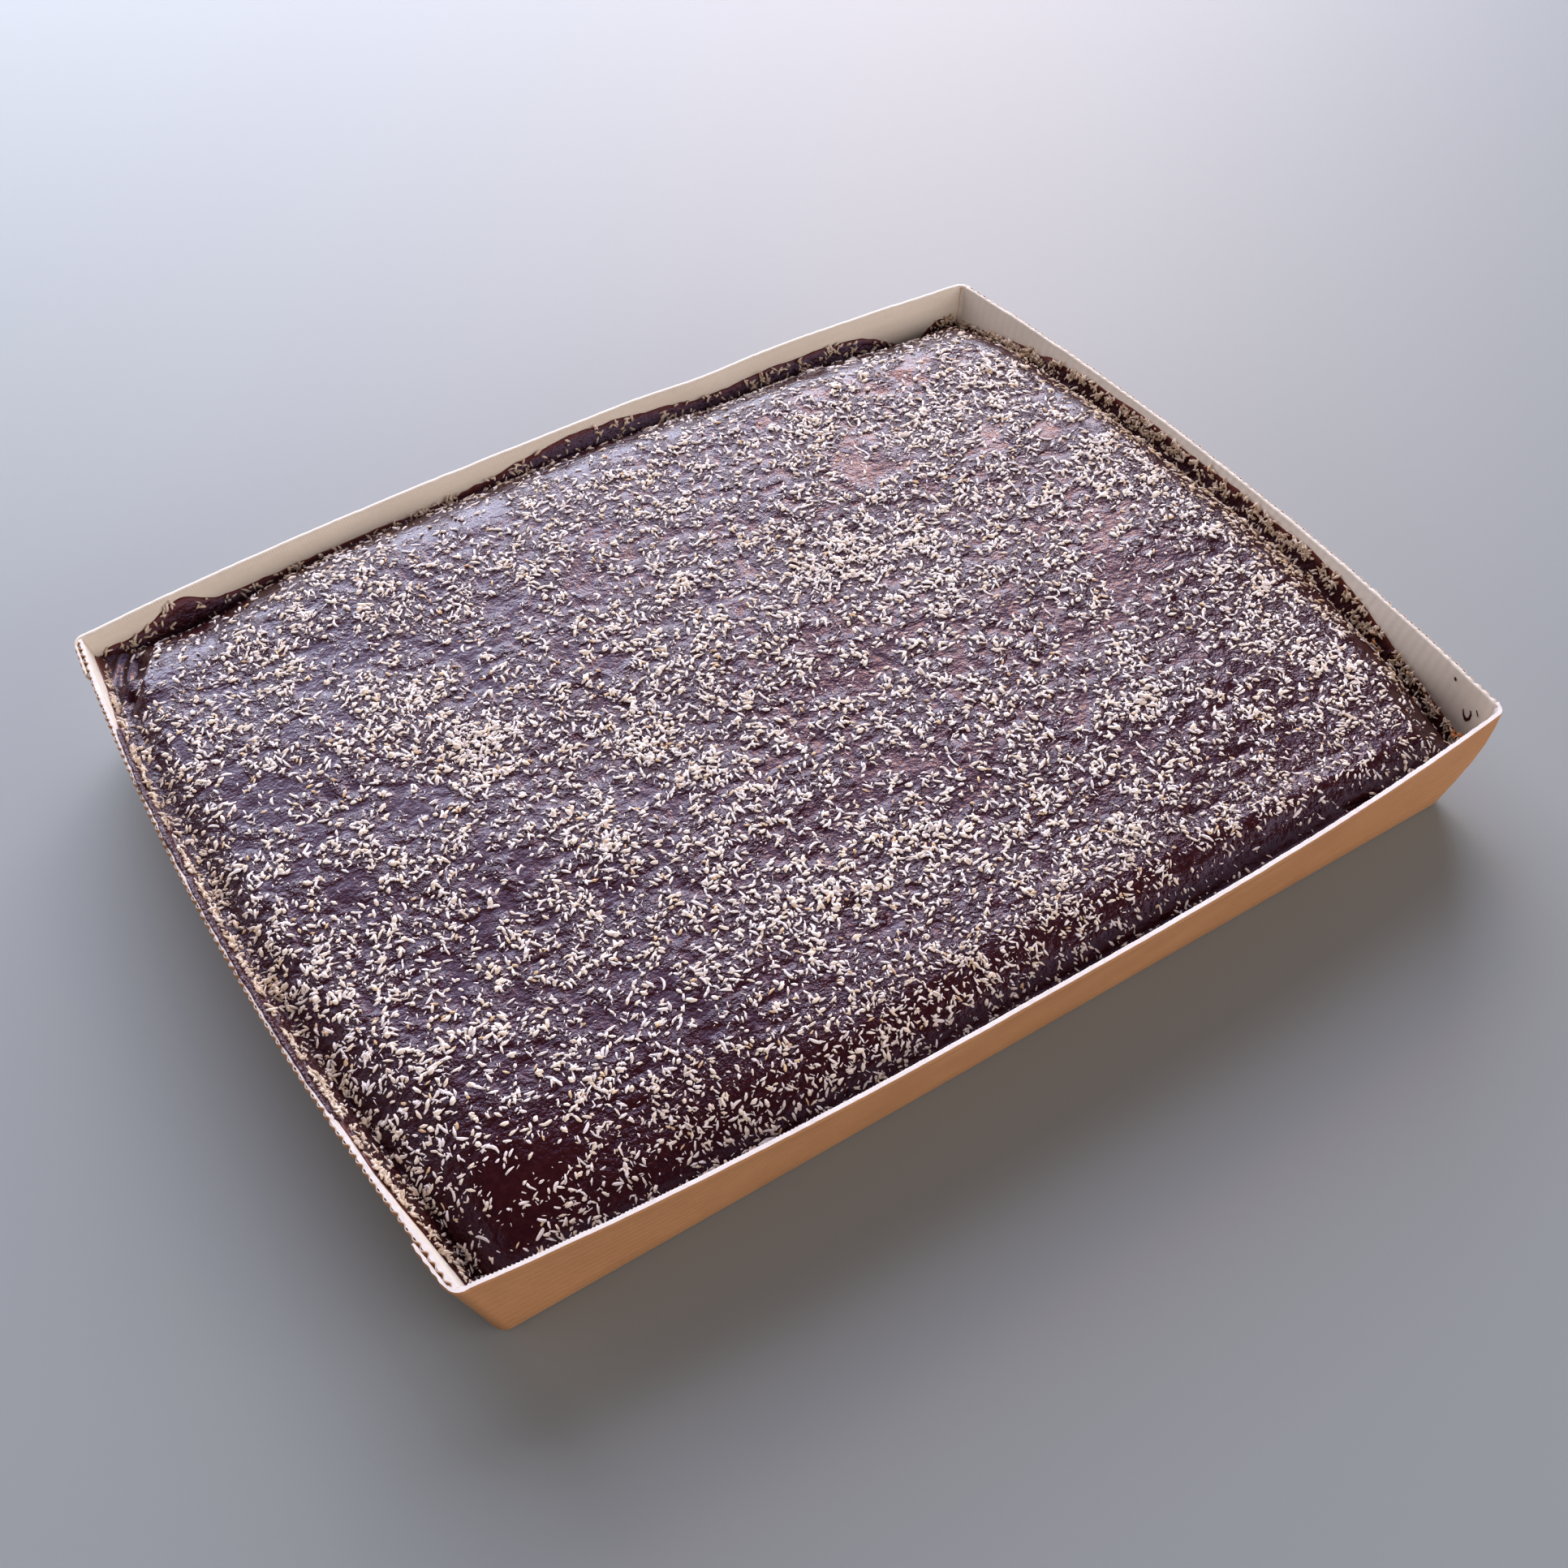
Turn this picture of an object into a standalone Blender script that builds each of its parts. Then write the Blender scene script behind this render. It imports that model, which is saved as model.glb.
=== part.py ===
"""Sheet cake under chocolate frosting, built together with its folded corrugated board tray.

Metres, +Z up. The origin is at the middle of the tray's base, on the surface it stands on.
+X runs along the long side and +Y from the front wall to the back wall.
"""
import math
import random

import bpy
import numpy as np
from mathutils import Matrix, Vector
from mathutils.geometry import delaunay_2d_cdt

MM = 0.001

# Tray: a flat base, four walls that lean and bow outwards, and a lap glued round each left corner
BASE_LENGTH = 310.8 * MM
BASE_WIDTH = 249.4 * MM
RIM_LENGTH = 330.0 * MM
RIM_WIDTH = 261.2 * MM
TRAY_HEIGHT = 38.0 * MM
BOARD = 1.8 * MM
SHORT_WALL_BOW = 7.8 * MM
LONG_WALL_BOW = 7.2 * MM
LONG_BOW_POWER = 2.6
CORNER_RADIUS = 3.6 * MM
FOLD = 1.2 * MM
LAP_AT_RIM = 17.5 * MM
LAP_AT_BASE = 11.0 * MM
LAP_STEP = 0.4 * MM
LAP_THICKNESS = 1.0 * MM
CORNER_KICK = 5.0 * MM
KICK_REACH = 26.0 * MM
BACK_DENT = 1.6 * MM
BACK_DENT_AT = 59.0 * MM
BACK_DENT_WIDTH = 17.0 * MM

# Cake: its clearance to the tray, and the plateau of frosting on it
GAP = 0.3 * MM
SIDE_DRAW_IN = 1.6 * MM
CAKE_CORNER = 2.0 * MM
GAUGE_HEIGHT = 33.0 * MM
PLATEAU = 38.4 * MM
DOME = 1.6 * MM
SWELL = 0.55 * MM

# A broad fall of the plateau towards the front right corner
CORNER_FALL = 4.5 * MM
CORNER_FALL_AT = (152.0 * MM, -128.0 * MM)
CORNER_FALL_REACH = 50.0 * MM

# A ledge on the front shoulder: how high, where its rise and fall lie from the wall, place and reach
LEDGE_HEIGHT = 1.1 * MM
LEDGE_RISE = (7.0 * MM, 11.0 * MM)
LEDGE_FALL = (19.0 * MM, 12.0 * MM)
LEDGE_AT = 92.0 * MM
LEDGE_REACH = 40.0 * MM

# Height of the frosting on each wall. A wave is (height, place along the wall, reach), and an end
# fall is (drop, where it starts, where it ends)
BACK_TOP = 31.0 * MM
BACK_WAVES = (
    (5.5 * MM, -133.0 * MM, 9.0 * MM),
    (4.6 * MM, 12.0 * MM, 34.0 * MM),
    (1.6 * MM, 95.0 * MM, 35.0 * MM),
    (-8.0 * MM, 139.0 * MM, 12.0 * MM),
    (-4.6 * MM, 168.0 * MM, 12.0 * MM),
)
RIGHT_TOP = 35.6 * MM
RIGHT_FRONT_FALL = (13.0 * MM, 52.0 * MM, 122.0 * MM)
RIGHT_BACK_FALL = (9.5 * MM, 60.0 * MM, 125.0 * MM)
LEFT_TOP = 37.0 * MM
LEFT_FRONT_FALL = (11.0 * MM, 92.0 * MM, 124.0 * MM)
LEFT_BACK_FALL = (8.5 * MM, 80.0 * MM, 130.0 * MM)
FRONT_TOP = 31.5 * MM
FRONT_FALL = (6.0 * MM, 125.0 * MM, 165.0 * MM)
END_FALL_POWER = 1.3

# Grooves between the shoulders and the walls: heights at the back, depths under the wall's frosting elsewhere
BACK_GROOVE = 28.5 * MM
BACK_GROOVE_WAVES = ((-5.0 * MM, -132.0 * MM, 26.0 * MM), (-3.0 * MM, 135.0 * MM, 18.0 * MM))
BACK_GROOVE_SLOPE = (4.5 * MM, -20.0 * MM, 90.0 * MM)
BACK_GROOVE_LEAST = 2.0 * MM
LEFT_GROOVE = 4.6 * MM
RIGHT_GROOVE = 5.6 * MM
RIGHT_GROOVE_RISES = (4.4 * MM, 70.0 * MM, 112.0 * MM)
LEFT_GROOVE_DEEPENS = (4.6 * MM, 0.0 * MM, 60.0 * MM)
FRONT_GROOVE = 6.0 * MM
GROOVE_RIPPLE = 0.8 * MM
RIPPLE_LENGTH = 115.0 * MM

# How far from each wall its shoulder starts, over which share of that it falls, and how far the
# frosting's ridge stands out from the wall
BACK_SHOULDER = 25.0 * MM
BACK_SHOULDER_WAVES = (
    (8.0 * MM, -140.0 * MM, 35.0 * MM),
    (6.0 * MM, 110.0 * MM, 45.0 * MM),
    (6.0 * MM, 152.0 * MM, 20.0 * MM),
)
RIGHT_SHOULDER = 17.0 * MM
RIGHT_SHOULDER_WAVES = (
    (11.0 * MM, 114.0 * MM, 18.0 * MM),
    (7.0 * MM, -122.0 * MM, 20.0 * MM),
    (-2.0 * MM, 24.0 * MM, 15.0 * MM),
    (3.0 * MM, -48.0 * MM, 22.0 * MM),
)
LEFT_SHOULDER = 13.0 * MM
LEFT_SHOULDER_WAVES = ((23.0 * MM, -112.0 * MM, 52.0 * MM),)
FRONT_SHOULDER = 18.0 * MM
FRONT_SHOULDER_AT_LEFT_END = (24.0 * MM, 50.0 * MM, 110.0 * MM)
FRONT_SHOULDER_NARROWS = (8.0 * MM, 60.0 * MM, 115.0 * MM)
RIDGE_WIDTH = {"left": 4.6 * MM, "right": 3.0 * MM, "front": 2.2 * MM, "back": 2.6 * MM}
SHOULDER_BEND = 1.7
SHOULDER_ROUNDNESS = 0.75
SHOULDER_SHARE = {"left": 0.86, "right": 0.82, "front": 1.0, "back": 1.0}

# How the solids are divided
LONG_STEPS = 28
SHORT_STEPS = 18
LAP_STEPS = 2
CORNER_STEPS = 3
OUTSIDE_LEVELS = (0.0, 0.04, 0.3, 0.6, 0.82, 1.0)
INSIDE_LEVELS = (1.0, 0.7, 0.38, 0.08)
FROSTING_RINGS = (1.5 * MM, 3.4 * MM, 5.8 * MM, 9.0 * MM, 13.5 * MM, 20.0 * MM)
PLATEAU_SPACING = 11.0 * MM

# Coconut flakes that are fused on
FLAKES = 250
FLAKE_SPACING = 10.5 * MM
FLAKE_CLEARANCE = 7.0 * MM
FLAKE_LENGTH = (3.4 * MM, 5.2 * MM)
FLAKE_WIDTH = (1.2 * MM, 1.7 * MM)
FLAKE_THICKNESS = (0.8 * MM, 1.1 * MM)
SEED = 11

KRAFT = (0.50, 0.27, 0.13, 1.0)
CHOCOLATE = (0.030, 0.011, 0.009, 1.0)


def clear_scene():
    for old in list(bpy.data.objects):
        bpy.data.objects.remove(old, do_unlink=True)


def make_material(name, colour, roughness):
    material = bpy.data.materials.new(name)
    material.use_nodes = True
    shader = material.node_tree.nodes["Principled BSDF"]
    shader.inputs["Base Color"].default_value = colour
    shader.inputs["Roughness"].default_value = roughness
    shader.inputs["Metallic"].default_value = 0.0
    return material


def make_object(name, points, faces, material):
    mesh = bpy.data.meshes.new(name)
    mesh.from_pydata([tuple(point) for point in points], [], faces)
    mesh.materials.append(material)
    mesh.update()
    made = bpy.data.objects.new(name, mesh)
    bpy.context.collection.objects.link(made)
    return made


def hump(value, centre, width):
    """A smooth bump of height one."""
    return np.exp(-((value - centre) / width) ** 2)


def ramp(value, start, end, power):
    """Nought before start, one at end, and steeper towards end."""
    return np.clip((value - start) / (end - start), 0.0, 1.0) ** power


def smooth_ramp(value, start, end):
    share = np.clip((value - start) / (end - start), 0.0, 1.0)
    return share * share * (3.0 - 2.0 * share)


def half_length_at_corner(z):
    return (BASE_LENGTH + (RIM_LENGTH - BASE_LENGTH) * z / TRAY_HEIGHT) / 2.0


def half_width_at_corner(z):
    return (BASE_WIDTH + (RIM_WIDTH - BASE_WIDTH) * z / TRAY_HEIGHT) / 2.0


def short_wall(y, z, run):
    """Half length of the tray at a point of a short wall, which bows more towards its rim."""
    bow = SHORT_WALL_BOW * (1.0 - np.minimum(np.abs(y / run), 1.0) ** 2)
    return half_length_at_corner(z) + bow * z / TRAY_HEIGHT


def long_wall(x, z, run, is_back):
    """Half width of the tray at a point of a long wall. The back one has a dent in its rim."""
    bow = LONG_WALL_BOW * (1.0 - np.minimum(np.abs(x / run), 1.0) ** LONG_BOW_POWER)
    dent = BACK_DENT * hump(x, BACK_DENT_AT, BACK_DENT_WIDTH) * is_back
    return half_width_at_corner(z) + (bow - dent) * z / TRAY_HEIGHT


def corner_kick(y, z):
    """How far the short wall is pushed out by the front right corner, most at half height."""
    along = hump(y, -half_width_at_corner(z), KICK_REACH)
    return CORNER_KICK * math.sin(math.pi * z / TRAY_HEIGHT) * along


def short_wall_stations(run, z):
    """Places along a short wall, with one pair at each end where its lap stops."""
    lap = LAP_AT_BASE + (LAP_AT_RIM - LAP_AT_BASE) * z / TRAY_HEIGHT
    lap_end = run - lap
    stations = list(np.linspace(-run, -lap_end, LAP_STEPS + 1))
    stations += list(np.linspace(-lap_end + LAP_STEP, lap_end - LAP_STEP, SHORT_STEPS + 1))
    stations += list(np.linspace(lap_end, run, LAP_STEPS + 1))
    return stations


def outline_point(column, z, inset, radius, lapped=False, kicked=False):
    """One point of the plan outline at height z, moved inwards by inset.

    Columns run counter-clockwise from the left end of the front wall. With lapped, the left
    corners and the ends of the left wall stand out by their glued laps.
    """
    lap = LAP_THICKNESS if lapped else 0.0
    across = half_width_at_corner(z) - inset - radius
    right_end = half_length_at_corner(z) - inset - radius
    left_end = right_end + lap
    stations = short_wall_stations(across, z)
    short_count = len(stations)
    long_count = LONG_STEPS + 1
    side = 0
    for side, count in enumerate((long_count, short_count, long_count, short_count)):
        if column < count:
            break
        column -= count
        if column < CORNER_STEPS - 1:
            end = right_end if side in (0, 1) else left_end
            return corner_point(side, column, end, across, radius, z, kicked)
        column -= CORNER_STEPS - 1
    if side in (0, 2):
        sign = -1.0 if side == 0 else 1.0
        run = (left_end + right_end) * column / LONG_STEPS
        x = run - left_end if side == 0 else right_end - run
        y = sign * (long_wall(x, z, right_end, side == 2) - inset)
        if kicked and side == 0:
            x += corner_kick(-half_width_at_corner(z), z) * smooth_ramp(x, right_end - KICK_REACH, right_end)
        return x, y
    sign = 1.0 if side == 1 else -1.0
    y = sign * stations[column]
    is_lap = side == 3 and (column <= LAP_STEPS or column >= short_count - 1 - LAP_STEPS)
    x = short_wall(y, z, across) - inset + (lap if is_lap else 0.0)
    if kicked and side == 1:
        x += corner_kick(y, z)
    return sign * x, y


def corner_point(side, step, along, across, radius, z, kicked):
    """A point on the rounded corner that follows the given side."""
    centre_x = along if side in (0, 1) else -along
    centre_y = across if side in (1, 2) else -across
    if kicked and side == 0:
        centre_x += corner_kick(-half_width_at_corner(z), z)
    angle = math.radians(-90.0 + 90.0 * side + 90.0 * (step + 1) / CORNER_STEPS)
    return centre_x + radius * math.cos(angle), centre_y + radius * math.sin(angle)


def column_count():
    short_count = len(short_wall_stations(BASE_WIDTH / 2.0, 0.0))
    return 2 * (LONG_STEPS + 1) + 2 * short_count + 4 * (CORNER_STEPS - 1)


def outline(z, inset, radius, lapped=False, kicked=False):
    return [outline_point(column, z, inset, radius, lapped, kicked) for column in range(column_count())]


def bridge(lower, upper, count):
    """Quads between two rings of points, given the index of each ring's first point."""
    faces = []
    for column in range(count):
        following = (column + 1) % count
        faces.append((lower + column, lower + following, upper + following, upper + column))
    return faces


def make_tray(material):
    """The folded board: out along the base, up the outside, over the rim and down the inside."""
    count = column_count()
    points = []
    for share in OUTSIDE_LEVELS:
        z = share * TRAY_HEIGHT
        inset = FOLD if share == 0.0 else 0.0
        lapped = share > 0.0
        points += [(x, y, z) for x, y in outline(z, inset, CORNER_RADIUS, lapped, True)]
    wall_thickness = BOARD + 0.1 * MM
    for share in INSIDE_LEVELS:
        z = share * TRAY_HEIGHT
        plan = outline(z, wall_thickness, CORNER_RADIUS - wall_thickness, False, True)
        points += [(x, y, z) for x, y in plan]
    floor = outline(BOARD, wall_thickness + FOLD, CORNER_RADIUS - wall_thickness, False, True)
    points += [(x, y, BOARD) for x, y in floor]
    rings = len(OUTSIDE_LEVELS) + len(INSIDE_LEVELS) + 1
    faces = [tuple(reversed(range(count)))]
    for ring in range(rings - 1):
        faces += bridge(ring * count, (ring + 1) * count, count)
    faces.append(tuple(range((rings - 1) * count, rings * count)))
    return make_object("tray", points, faces, material)


def waves(value, listed):
    return sum(height * hump(value, place, reach) for height, place, reach in listed)


def end_fall(value, fall):
    drop, start, end = fall
    return drop * ramp(value, start, end, END_FALL_POWER)


def slope(value, listed):
    amount, start, end = listed
    return amount * smooth_ramp(value, start, end)


def wall_top(x, y):
    """Height that the frosting reaches on each wall."""
    return {
        "left": LEFT_TOP - end_fall(y, LEFT_BACK_FALL) - end_fall(-y, LEFT_FRONT_FALL),
        "right": RIGHT_TOP - end_fall(y, RIGHT_BACK_FALL) - end_fall(-y, RIGHT_FRONT_FALL),
        "front": FRONT_TOP - end_fall(np.abs(x), FRONT_FALL),
        "back": BACK_TOP + waves(x, BACK_WAVES),
    }


def groove_height(x, y):
    """Height of the groove between the cake's shoulder and the frosting on each wall."""
    tops = wall_top(x, y)
    ripple_y = GROOVE_RIPPLE * np.sin(2.0 * np.pi * y / RIPPLE_LENGTH)
    ripple_x = GROOVE_RIPPLE * np.sin(2.0 * np.pi * x / RIPPLE_LENGTH)
    back = BACK_GROOVE + waves(x, BACK_GROOVE_WAVES) - slope(x, BACK_GROOVE_SLOPE)
    return {
        "left": tops["left"] - LEFT_GROOVE - slope(-y, LEFT_GROOVE_DEEPENS) - ripple_y,
        "right": tops["right"] - RIGHT_GROOVE + slope(y, RIGHT_GROOVE_RISES) - ripple_y,
        "front": tops["front"] - FRONT_GROOVE - ripple_x,
        "back": np.minimum(back, tops["back"] - BACK_GROOVE_LEAST),
    }


def shoulder_width(x, y):
    """Distance from each wall over which the cake's shoulder falls away from the plateau."""
    front = FRONT_SHOULDER + slope(-x, FRONT_SHOULDER_AT_LEFT_END) - slope(x, FRONT_SHOULDER_NARROWS)
    return {
        "left": LEFT_SHOULDER + waves(y, LEFT_SHOULDER_WAVES),
        "right": RIGHT_SHOULDER + waves(y, RIGHT_SHOULDER_WAVES),
        "front": front,
        "back": BACK_SHOULDER + waves(x, BACK_SHOULDER_WAVES),
    }


def gaps_to_walls(x, y):
    """Distance from the frosting's edge at each wall."""
    inset = BOARD + 0.1 * MM + GAP
    along = half_length_at_corner(GAUGE_HEIGHT)
    across = half_width_at_corner(GAUGE_HEIGHT)
    half_x = short_wall(y, GAUGE_HEIGHT, across) - inset
    return {
        "left": np.maximum(half_x + x, 0.0),
        "right": np.maximum(half_x - x, 0.0),
        "front": np.maximum(long_wall(x, GAUGE_HEIGHT, along, False) - inset + y, 0.0),
        "back": np.maximum(long_wall(x, GAUGE_HEIGHT, along, True) - inset - y, 0.0),
    }


def plateau_height(x, y):
    """The spread top: a low dome with the broad swells that a palette knife leaves."""
    dome = DOME * ((x / 0.165) ** 2 + (y / 0.130) ** 2) / 2.0
    swells = np.sin(x * 47.0 + 1.3) * np.cos(y * 39.0 - 0.6) + 0.6 * np.sin(x * 83.0 - y * 61.0 + 2.0)
    swells += 0.5 * np.sin(x * 29.0 + y * 97.0)
    away = np.hypot(x - CORNER_FALL_AT[0], y - CORNER_FALL_AT[1])
    return PLATEAU - dome + SWELL * swells - CORNER_FALL * hump(away, 0.0, CORNER_FALL_REACH)


def frosting_height(x, y):
    """Height of the frosting: plateau, shoulders that fall to a groove, and a ridge up each wall."""
    x = np.asarray(x, dtype=float)
    y = np.asarray(y, dtype=float)
    gaps = gaps_to_walls(x, y)
    tops = wall_top(x, y)
    grooves = groove_height(x, y)
    shoulders = shoulder_width(x, y)
    plateau = plateau_height(x, y)
    falls = 0.0
    climbs = 0.0
    for wall, gap in gaps.items():
        reach = np.clip((1.0 - gap / shoulders[wall]) / SHOULDER_SHARE[wall], 0.0, 1.0)
        bend = 1.0 - (1.0 - reach ** SHOULDER_BEND) ** SHOULDER_ROUNDNESS
        fall = np.maximum(plateau - grooves[wall], 0.0) * bend
        falls = falls + fall ** 4
        climb = (tops[wall] - grooves[wall]) * np.exp(-(gap / RIDGE_WIDTH[wall]) ** 1.6)
        climbs = climbs + climb ** 4
    height = plateau - falls ** 0.25 + climbs ** 0.25
    ledge = smooth_ramp(gaps["front"], *LEDGE_RISE) * smooth_ramp(gaps["front"], *LEDGE_FALL)
    return height + LEDGE_HEIGHT * ledge * hump(x, LEDGE_AT, LEDGE_REACH)


def edge_ring():
    """The frosting's edge against the walls, each point at the height that it reaches there."""
    inset = BOARD + 0.1 * MM + GAP
    ring = []
    for column in range(column_count()):
        z = float(frosting_height(*outline_point(column, GAUGE_HEIGHT, inset, CAKE_CORNER)))
        ring.append((*outline_point(column, z, inset, CAKE_CORNER), z))
    return ring


def frosting_ring(inset, offset):
    """One ring of the frosting. The nearer it lies to the walls, the more it leans with them."""
    lean = 1.0 - offset / FROSTING_RINGS[-1]
    ring = []
    for column, (x, y) in enumerate(outline(GAUGE_HEIGHT, inset + offset, CAKE_CORNER + offset)):
        z = float(frosting_height(x, y))
        level = GAUGE_HEIGHT + lean * (z - GAUGE_HEIGHT)
        ring.append((*outline_point(column, level, inset + offset, CAKE_CORNER + offset), z))
    return ring


def field_plan():
    """Plan points spread evenly over the plateau, inside the last ring."""
    plan = []
    margin = FROSTING_RINGS[-1] + 0.6 * PLATEAU_SPACING
    row_spacing = PLATEAU_SPACING * math.sqrt(3.0) / 2.0
    rows = int(RIM_WIDTH / row_spacing)
    places = int(RIM_LENGTH / PLATEAU_SPACING)
    for row in range(-rows // 2, rows // 2 + 1):
        for place in range(-places // 2, places // 2 + 1):
            x = (place + 0.5 * (row % 2)) * PLATEAU_SPACING
            y = row * row_spacing
            if min(float(gap) for gap in gaps_to_walls(x, y).values()) > margin:
                plan.append((x, y))
    return plan


def make_cake(material):
    """One closed body: rings of frosting round an even field, the sides, and the flat bottom."""
    points = edge_ring()
    count = len(points)
    inset = BOARD + 0.1 * MM + GAP
    faces = []
    for offset in FROSTING_RINGS:
        faces += bridge(len(points) - count, len(points), count)
        points += frosting_ring(inset, offset)
    last_ring = len(points) - count
    plan = [Vector(point[:2]) for point in points[last_ring:]] + [Vector(spot) for spot in field_plan()]
    merge_distance = 0.01 * MM
    laid, _, triangles, _, _, _ = delaunay_2d_cdt(plan, [], [tuple(range(count))], 1, merge_distance)
    if len(laid) != len(plan):
        raise ValueError("two plan points of the frosting fell together")
    faces += [tuple(last_ring + corner for corner in triangle) for triangle in triangles]
    points += [(x, y, float(frosting_height(x, y))) for x, y in laid[count:]]
    half_way = len(points)
    for column, (_, _, z) in enumerate(points[:count]):
        middle = z / 2.0
        points.append((*outline_point(column, middle, inset, CAKE_CORNER), middle))
    bottom = len(points)
    floor = BOARD + GAP
    points += [(x, y, floor) for x, y in outline(floor, inset + SIDE_DRAW_IN, CAKE_CORNER)]
    faces += bridge(half_way, 0, count)
    faces += bridge(bottom, half_way, count)
    faces.append(tuple(reversed(range(bottom, bottom + count))))
    return make_object("frosted_cake", points, faces, material)


def surface_frame(cake, x, y, heading):
    """A frame on the frosting: its first axis along the heading, its third along the normal."""
    _, centre, normal, _ = cake.ray_cast(Vector((x, y, 2.0 * TRAY_HEIGHT)), Vector((0.0, 0.0, -1.0)))
    along = Vector((math.cos(heading), math.sin(heading), 0.0))
    along = (along - normal * along.dot(normal)).normalized()
    sideways = normal.cross(along)
    turn = Matrix((along, sideways, normal)).transposed()
    return turn, centre


def make_flake(cake, x, y, draw, material):
    """One shred of coconut: a strip with two tapered ends and a slight bend, half sunk."""
    length = draw.uniform(*FLAKE_LENGTH)
    width = draw.uniform(*FLAKE_WIDTH)
    thickness = draw.uniform(*FLAKE_THICKNESS)
    bend = draw.uniform(-0.18, 0.18) * length
    lift = draw.uniform(0.0, 0.2) * thickness
    turn, centre = surface_frame(cake, x, y, draw.uniform(0.0, math.pi))
    points = []
    for along, taper in ((-0.5, 0.55), (0.0, 1.0), (0.5, 0.45)):
        middle = Vector((along * length, bend * (1.0 - 4.0 * along * along), lift))
        for side, up in ((-0.5, -0.5), (0.5, -0.5), (0.42, 0.5), (-0.42, 0.5)):
            corner = Vector((0.0, side * width * taper, up * thickness * taper))
            points.append(centre + turn @ (middle + corner))
    faces = [(0, 1, 2, 3), (11, 10, 9, 8)]
    for ring in (0, 4):
        for corner in range(4):
            following = (corner + 1) % 4
            faces.append((ring + corner, ring + 4 + corner, ring + 4 + following, ring + following))
    return make_object("flake", points, faces, material)


def flake_places(draw):
    """Spots on the frosting, drawn at random and kept where none lies too near."""
    places = []
    while len(places) < FLAKES:
        x = draw.uniform(-RIM_LENGTH / 2.0, RIM_LENGTH / 2.0)
        y = draw.uniform(-RIM_WIDTH / 2.0, RIM_WIDTH / 2.0)
        if min(float(gap) for gap in gaps_to_walls(x, y).values()) < FLAKE_CLEARANCE:
            continue
        if any(math.hypot(x - other_x, y - other_y) < FLAKE_SPACING for other_x, other_y in places):
            continue
        places.append((x, y))
    return places


def fuse_flakes(cake, material):
    """Joins the larger flakes to the frosting, so that they are one body with the cake."""
    draw = random.Random(SEED)
    bpy.context.view_layer.update()
    flakes = bpy.data.collections.new("flakes")
    bpy.context.scene.collection.children.link(flakes)
    for x, y in flake_places(draw):
        flake = make_flake(cake, x, y, draw, material)
        bpy.context.collection.objects.unlink(flake)
        flakes.objects.link(flake)
    union = cake.modifiers.new("fused flakes", "BOOLEAN")
    union.operation = "UNION"
    union.operand_type = "COLLECTION"
    union.collection = flakes
    union.solver = "EXACT"
    bpy.context.view_layer.objects.active = cake
    bpy.ops.object.modifier_apply(modifier=union.name)
    for flake in list(flakes.objects):
        bpy.data.objects.remove(flake, do_unlink=True)
    bpy.data.collections.remove(flakes)


def smooth_round_pieces(made, angle):
    made.data.shade_smooth()
    made.data.set_sharp_from_angle(angle=math.radians(angle))


clear_scene()
tray = make_tray(make_material("kraft_board", KRAFT, 0.85))
frosting = make_material("chocolate_frosting", CHOCOLATE, 0.28)
cake = make_cake(frosting)
fuse_flakes(cake, frosting)
smooth_round_pieces(tray, 30.0)
smooth_round_pieces(cake, 30.0)
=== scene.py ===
# %% [markdown]
# # A chocolate sheet cake under coconut, in its folded board tray
#
# The real thing is a flat sponge, baked as a sheet, set in a shallow tray of thin corrugated board and
# spread with soft dark frosting. Desiccated coconut is thrown over it while the frosting is still wet.
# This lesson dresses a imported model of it. The plain solids give the sizes and the places, and every
# cell below makes one visible piece or one finish: the spread frosting, the shreds of coconut, the
# board with its cut edges, and then the floor, the light and the camera.

import math
import random

import bpy
import numpy as np
from mathutils import Matrix, Vector


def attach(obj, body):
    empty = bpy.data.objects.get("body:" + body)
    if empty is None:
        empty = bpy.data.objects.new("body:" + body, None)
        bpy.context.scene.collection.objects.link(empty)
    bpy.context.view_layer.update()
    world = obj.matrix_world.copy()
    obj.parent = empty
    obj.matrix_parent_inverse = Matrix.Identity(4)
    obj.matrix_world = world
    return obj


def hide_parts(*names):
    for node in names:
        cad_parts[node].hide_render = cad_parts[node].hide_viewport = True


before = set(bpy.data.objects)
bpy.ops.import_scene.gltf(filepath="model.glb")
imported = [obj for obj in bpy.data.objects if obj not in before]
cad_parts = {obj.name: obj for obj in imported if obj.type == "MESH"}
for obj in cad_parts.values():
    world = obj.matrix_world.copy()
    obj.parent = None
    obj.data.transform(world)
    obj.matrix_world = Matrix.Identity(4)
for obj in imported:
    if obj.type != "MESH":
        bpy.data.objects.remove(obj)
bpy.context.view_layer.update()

# %% [markdown]
# ## The tray's form as a formula
#
# A folded tray is four flat flaps that lean outwards. The weight of the cake bows them, most at the rim
# and in the middle of each flap, and not at all at the corners, where the laps hold them. So each wall
# is one formula: where the straight flap would be, plus a bow that grows with the height. Working from
# formulas, and not from a ready mesh, lets every later piece ask how far away the wall is.

# %% The walls
MM = 0.001
BASE_LENGTH = 310.8 * MM
BASE_WIDTH = 249.4 * MM
RIM_LENGTH = 330.0 * MM
RIM_WIDTH = 261.2 * MM
TRAY_HEIGHT = 38.0 * MM
BOARD = 1.8 * MM
WALL = BOARD + 0.1 * MM
SHORT_WALL_BOW = 7.8 * MM
LONG_WALL_BOW = 7.2 * MM
LONG_BOW_POWER = 2.6
CORNER_RADIUS = 3.6 * MM
FOLD = 1.2 * MM
LAP_AT_RIM = 17.5 * MM
LAP_AT_BASE = 11.0 * MM
LAP_THICKNESS = 1.0 * MM
CORNER_KICK = 5.0 * MM
KICK_REACH = 26.0 * MM
BACK_DENT = 1.6 * MM
BACK_DENT_AT = 59.0 * MM
BACK_DENT_WIDTH = 17.0 * MM


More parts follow.
